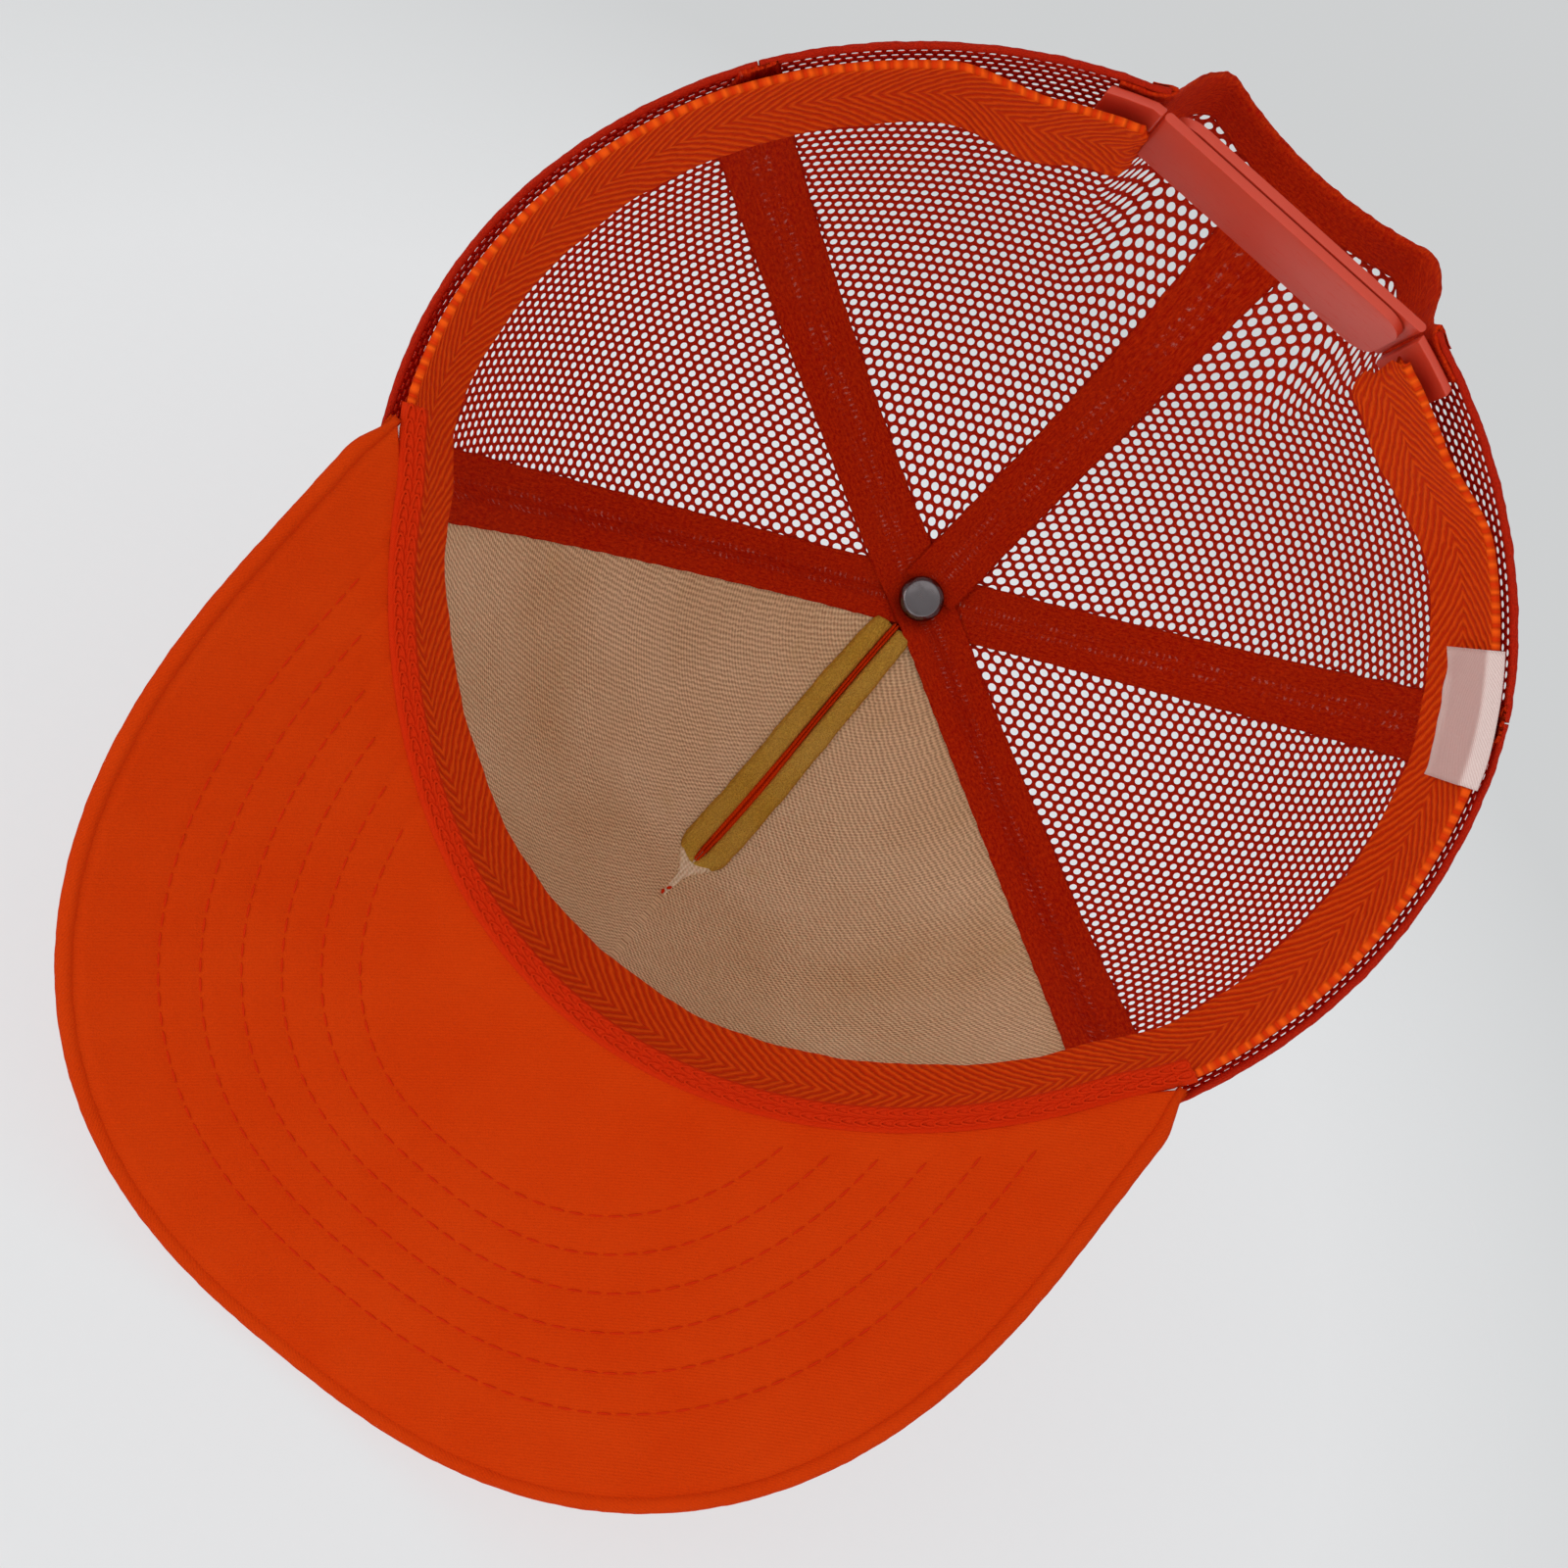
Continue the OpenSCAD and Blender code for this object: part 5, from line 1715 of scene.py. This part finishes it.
@dataclass
class Studio:
    """Camera, soft lights, pale surroundings and the two floors.

    The upright cap stands on a floor that shows only from above. The camera looks into the
    cap from below, as if it lay on its visor and crown on a table; that table is a leaning
    patch that shows only from its own front side.
    """

    eye: tuple[float, float, float] = (24.2, -50.3, -342.7)
    lens: float = 49.5
    roll: float = -0.082
    turn_y: float = -0.0715
    turn_x: float = -0.034
    pale: tuple[float, float, float] = (0.62, 0.63, 0.635)
    floor_glow: float = 1.02
    floor_self_lit: float = 0.78

    def camera(self) -> None:
        """Makes the camera from its place, its half-diagonal heading and three small turns."""
        k = math.sqrt(0.5)
        right, up = Vector((-k, k, 0)), Vector((k, k, 0))
        cos_r, sin_r = math.cos(self.roll), math.sin(self.roll)
        new_right = cos_r * right + sin_r * up
        new_up = -sin_r * right + cos_r * up
        turn = Matrix.Rotation(self.turn_y, 3, "Y") @ Matrix.Rotation(self.turn_x, 3, "X")
        ahead = turn @ Vector((0, 0, 1))
        axes = Matrix((turn @ new_right, turn @ new_up, -ahead)).transposed()
        data = bpy.data.cameras.new("camera")
        data.lens = self.lens
        data.sensor_width = 36
        data.clip_start = 0.01
        cam = bpy.data.objects.new("camera", data)
        cam.matrix_world = Matrix.Translation(Vector(self.eye) * MM) @ axes.to_4x4()
        bpy.context.scene.collection.objects.link(cam)
        bpy.context.scene.camera = cam

    def light(
        self, name: str, place: tuple, aim: tuple, size: float, power: float, tint: tuple
    ) -> None:
        """Makes one soft square light.

        Args:
            name: Name of the light.
            place: Where it is, in metres.
            aim: Where it points.
            size: Side of the square.
            power: Power in watts.
            tint: Colour.
        """
        data = bpy.data.lights.new(name, "AREA")
        data.size = size
        data.energy = power
        data.color = tint
        lamp = bpy.data.objects.new(name, data)
        lamp.location = place
        lamp.rotation_euler = (Vector(aim) - Vector(place)).to_track_quat("-Z", "Y").to_euler()
        bpy.context.scene.collection.objects.link(lamp)

    def surroundings(self) -> None:
        """Makes the pale even surroundings."""
        world = bpy.data.worlds.new("pale_room")
        bpy.context.scene.world = world
        bpy.context.scene.view_settings.view_transform = "Standard"
        world.use_nodes = True
        world.node_tree.nodes["Background"].inputs[0].default_value = (*self.pale, 1)
        world.node_tree.nodes["Background"].inputs[1].default_value = 1.0

    def floor_material(
        self, name: str, tint: tuple, fade: tuple[float, float], back: bool
    ) -> bpy.types.Material:
        """Returns a floor finish that only the camera sees, from one side, fading at its edge.

        Args:
            name: Name of the finish.
            tint: Colour.
            fade: Distances from the middle where it begins and ends to fade, in metres.
            back: True if it shows from its back.
        """
        mat = bpy.data.materials.new(name)
        mat.use_nodes = True
        tree = mat.node_tree
        tree.nodes.clear()
        g = Graph(tree)
        place = g.node("TexCoord").outputs["Object"]
        grain = g.noise(place, 300.0, 3.0)
        color = g.blend(g.span(grain, 0.3, 0.7, 0.0, 0.05), (*tint, 1), (*[c * 0.9 for c in tint], 1))
        matte = g.node("BsdfDiffuse", {"Color": color})
        even = g.node("Emission", {"Color": color, "Strength": self.floor_glow})
        solid = g.node("MixShader", {0: self.floor_self_lit, 1: matte.outputs[0], 2: even.outputs[0]})
        clear = g.node("BsdfTransparent")
        far = g.node("VectorMath", {0: place}, {"operation": "LENGTH"}).outputs["Value"]
        near = g.span(far, fade[0], fade[1], 1.0, 0.0)
        facing = g.node("NewGeometry").outputs["Backfacing"]
        side = facing if back else g.sum("SUBTRACT", 1.0, facing)
        seen = g.node("LightPath").outputs["Is Camera Ray"]
        amount = g.sum("MULTIPLY", g.sum("MULTIPLY", near, side), seen)
        both = g.node("MixShader", {0: amount, 1: clear.outputs[0], 2: solid.outputs[0]})
        g.node("OutputMaterial", {"Surface": both.outputs[0]})
        return mat

    def floor(
        self, name: str, middle: Vector, normal: Vector, half: float, material: bpy.types.Material
    ) -> None:
        """Makes a square floor about a middle point, facing its normal."""
        mesh = bpy.data.meshes.new(name)
        corners = [(-half, -half, 0), (half, -half, 0), (half, half, 0), (-half, half, 0)]
        mesh.from_pydata(corners, [], [(0, 1, 2, 3)])
        mesh.materials.append(material)
        obj = bpy.data.objects.new(name, mesh)
        turn = normal.to_track_quat("Z", "Y")
        obj.matrix_world = Matrix.LocRotScale(middle, turn, None)
        bpy.context.scene.collection.objects.link(obj)

    def build(self) -> None:
        """Makes the whole studio."""
        self.camera()
        self.surroundings()
        stand = self.floor_material("stand_floor", (0.80, 0.80, 0.80), (0.35, 1.2), False)
        self.floor("standing_floor", Vector((0, 0, -0.0004)), Vector((0, 0, 1)), 1.3, stand)
        table = self.floor_material("table_floor", (0.80, 0.81, 0.82), (0.20, 0.36), False)
        lean = Vector((0, 0.719, -0.695)).normalized()
        tip = Vector((0, -165.5, 21.0)) * MM
        middle = tip + Vector((0.0, 0.695, 0.719)).normalized() * 0.11 - lean * 0.003
        self.floor("table_floor_patch", middle, lean, 0.4, table)
        self.light("window", (0.75, -0.25, -0.75), (0, -0.02, 0.05), 0.5, 2.2, (1.0, 0.98, 0.95))
        self.light("fill", (-0.35, -0.4, -0.9), (0, 0.02, 0.06), 1.2, 2.6, (1.0, 0.99, 0.98))
        self.light("overhead", (-0.5, -0.8, 1.3), (0, 0, 0.05), 1.0, 11.0, (1.0, 0.98, 0.96))


# ---------------------------------------------------------------------- main


def main() -> None:
    """Builds the cap and its studio."""
    logging.basicConfig(level=logging.INFO, format="%(name)s %(message)s")
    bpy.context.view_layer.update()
    parts = (
        Studio(), MeshCrown(), FrontPanel(), SeamTapes(), Sweatband(), Visor(), SnapStraps(),
        TopButton(),
    )
    for part in parts:
        LOG.info("building %s", type(part).__name__)
        part.build()


if __name__ == "__main__":
    main()
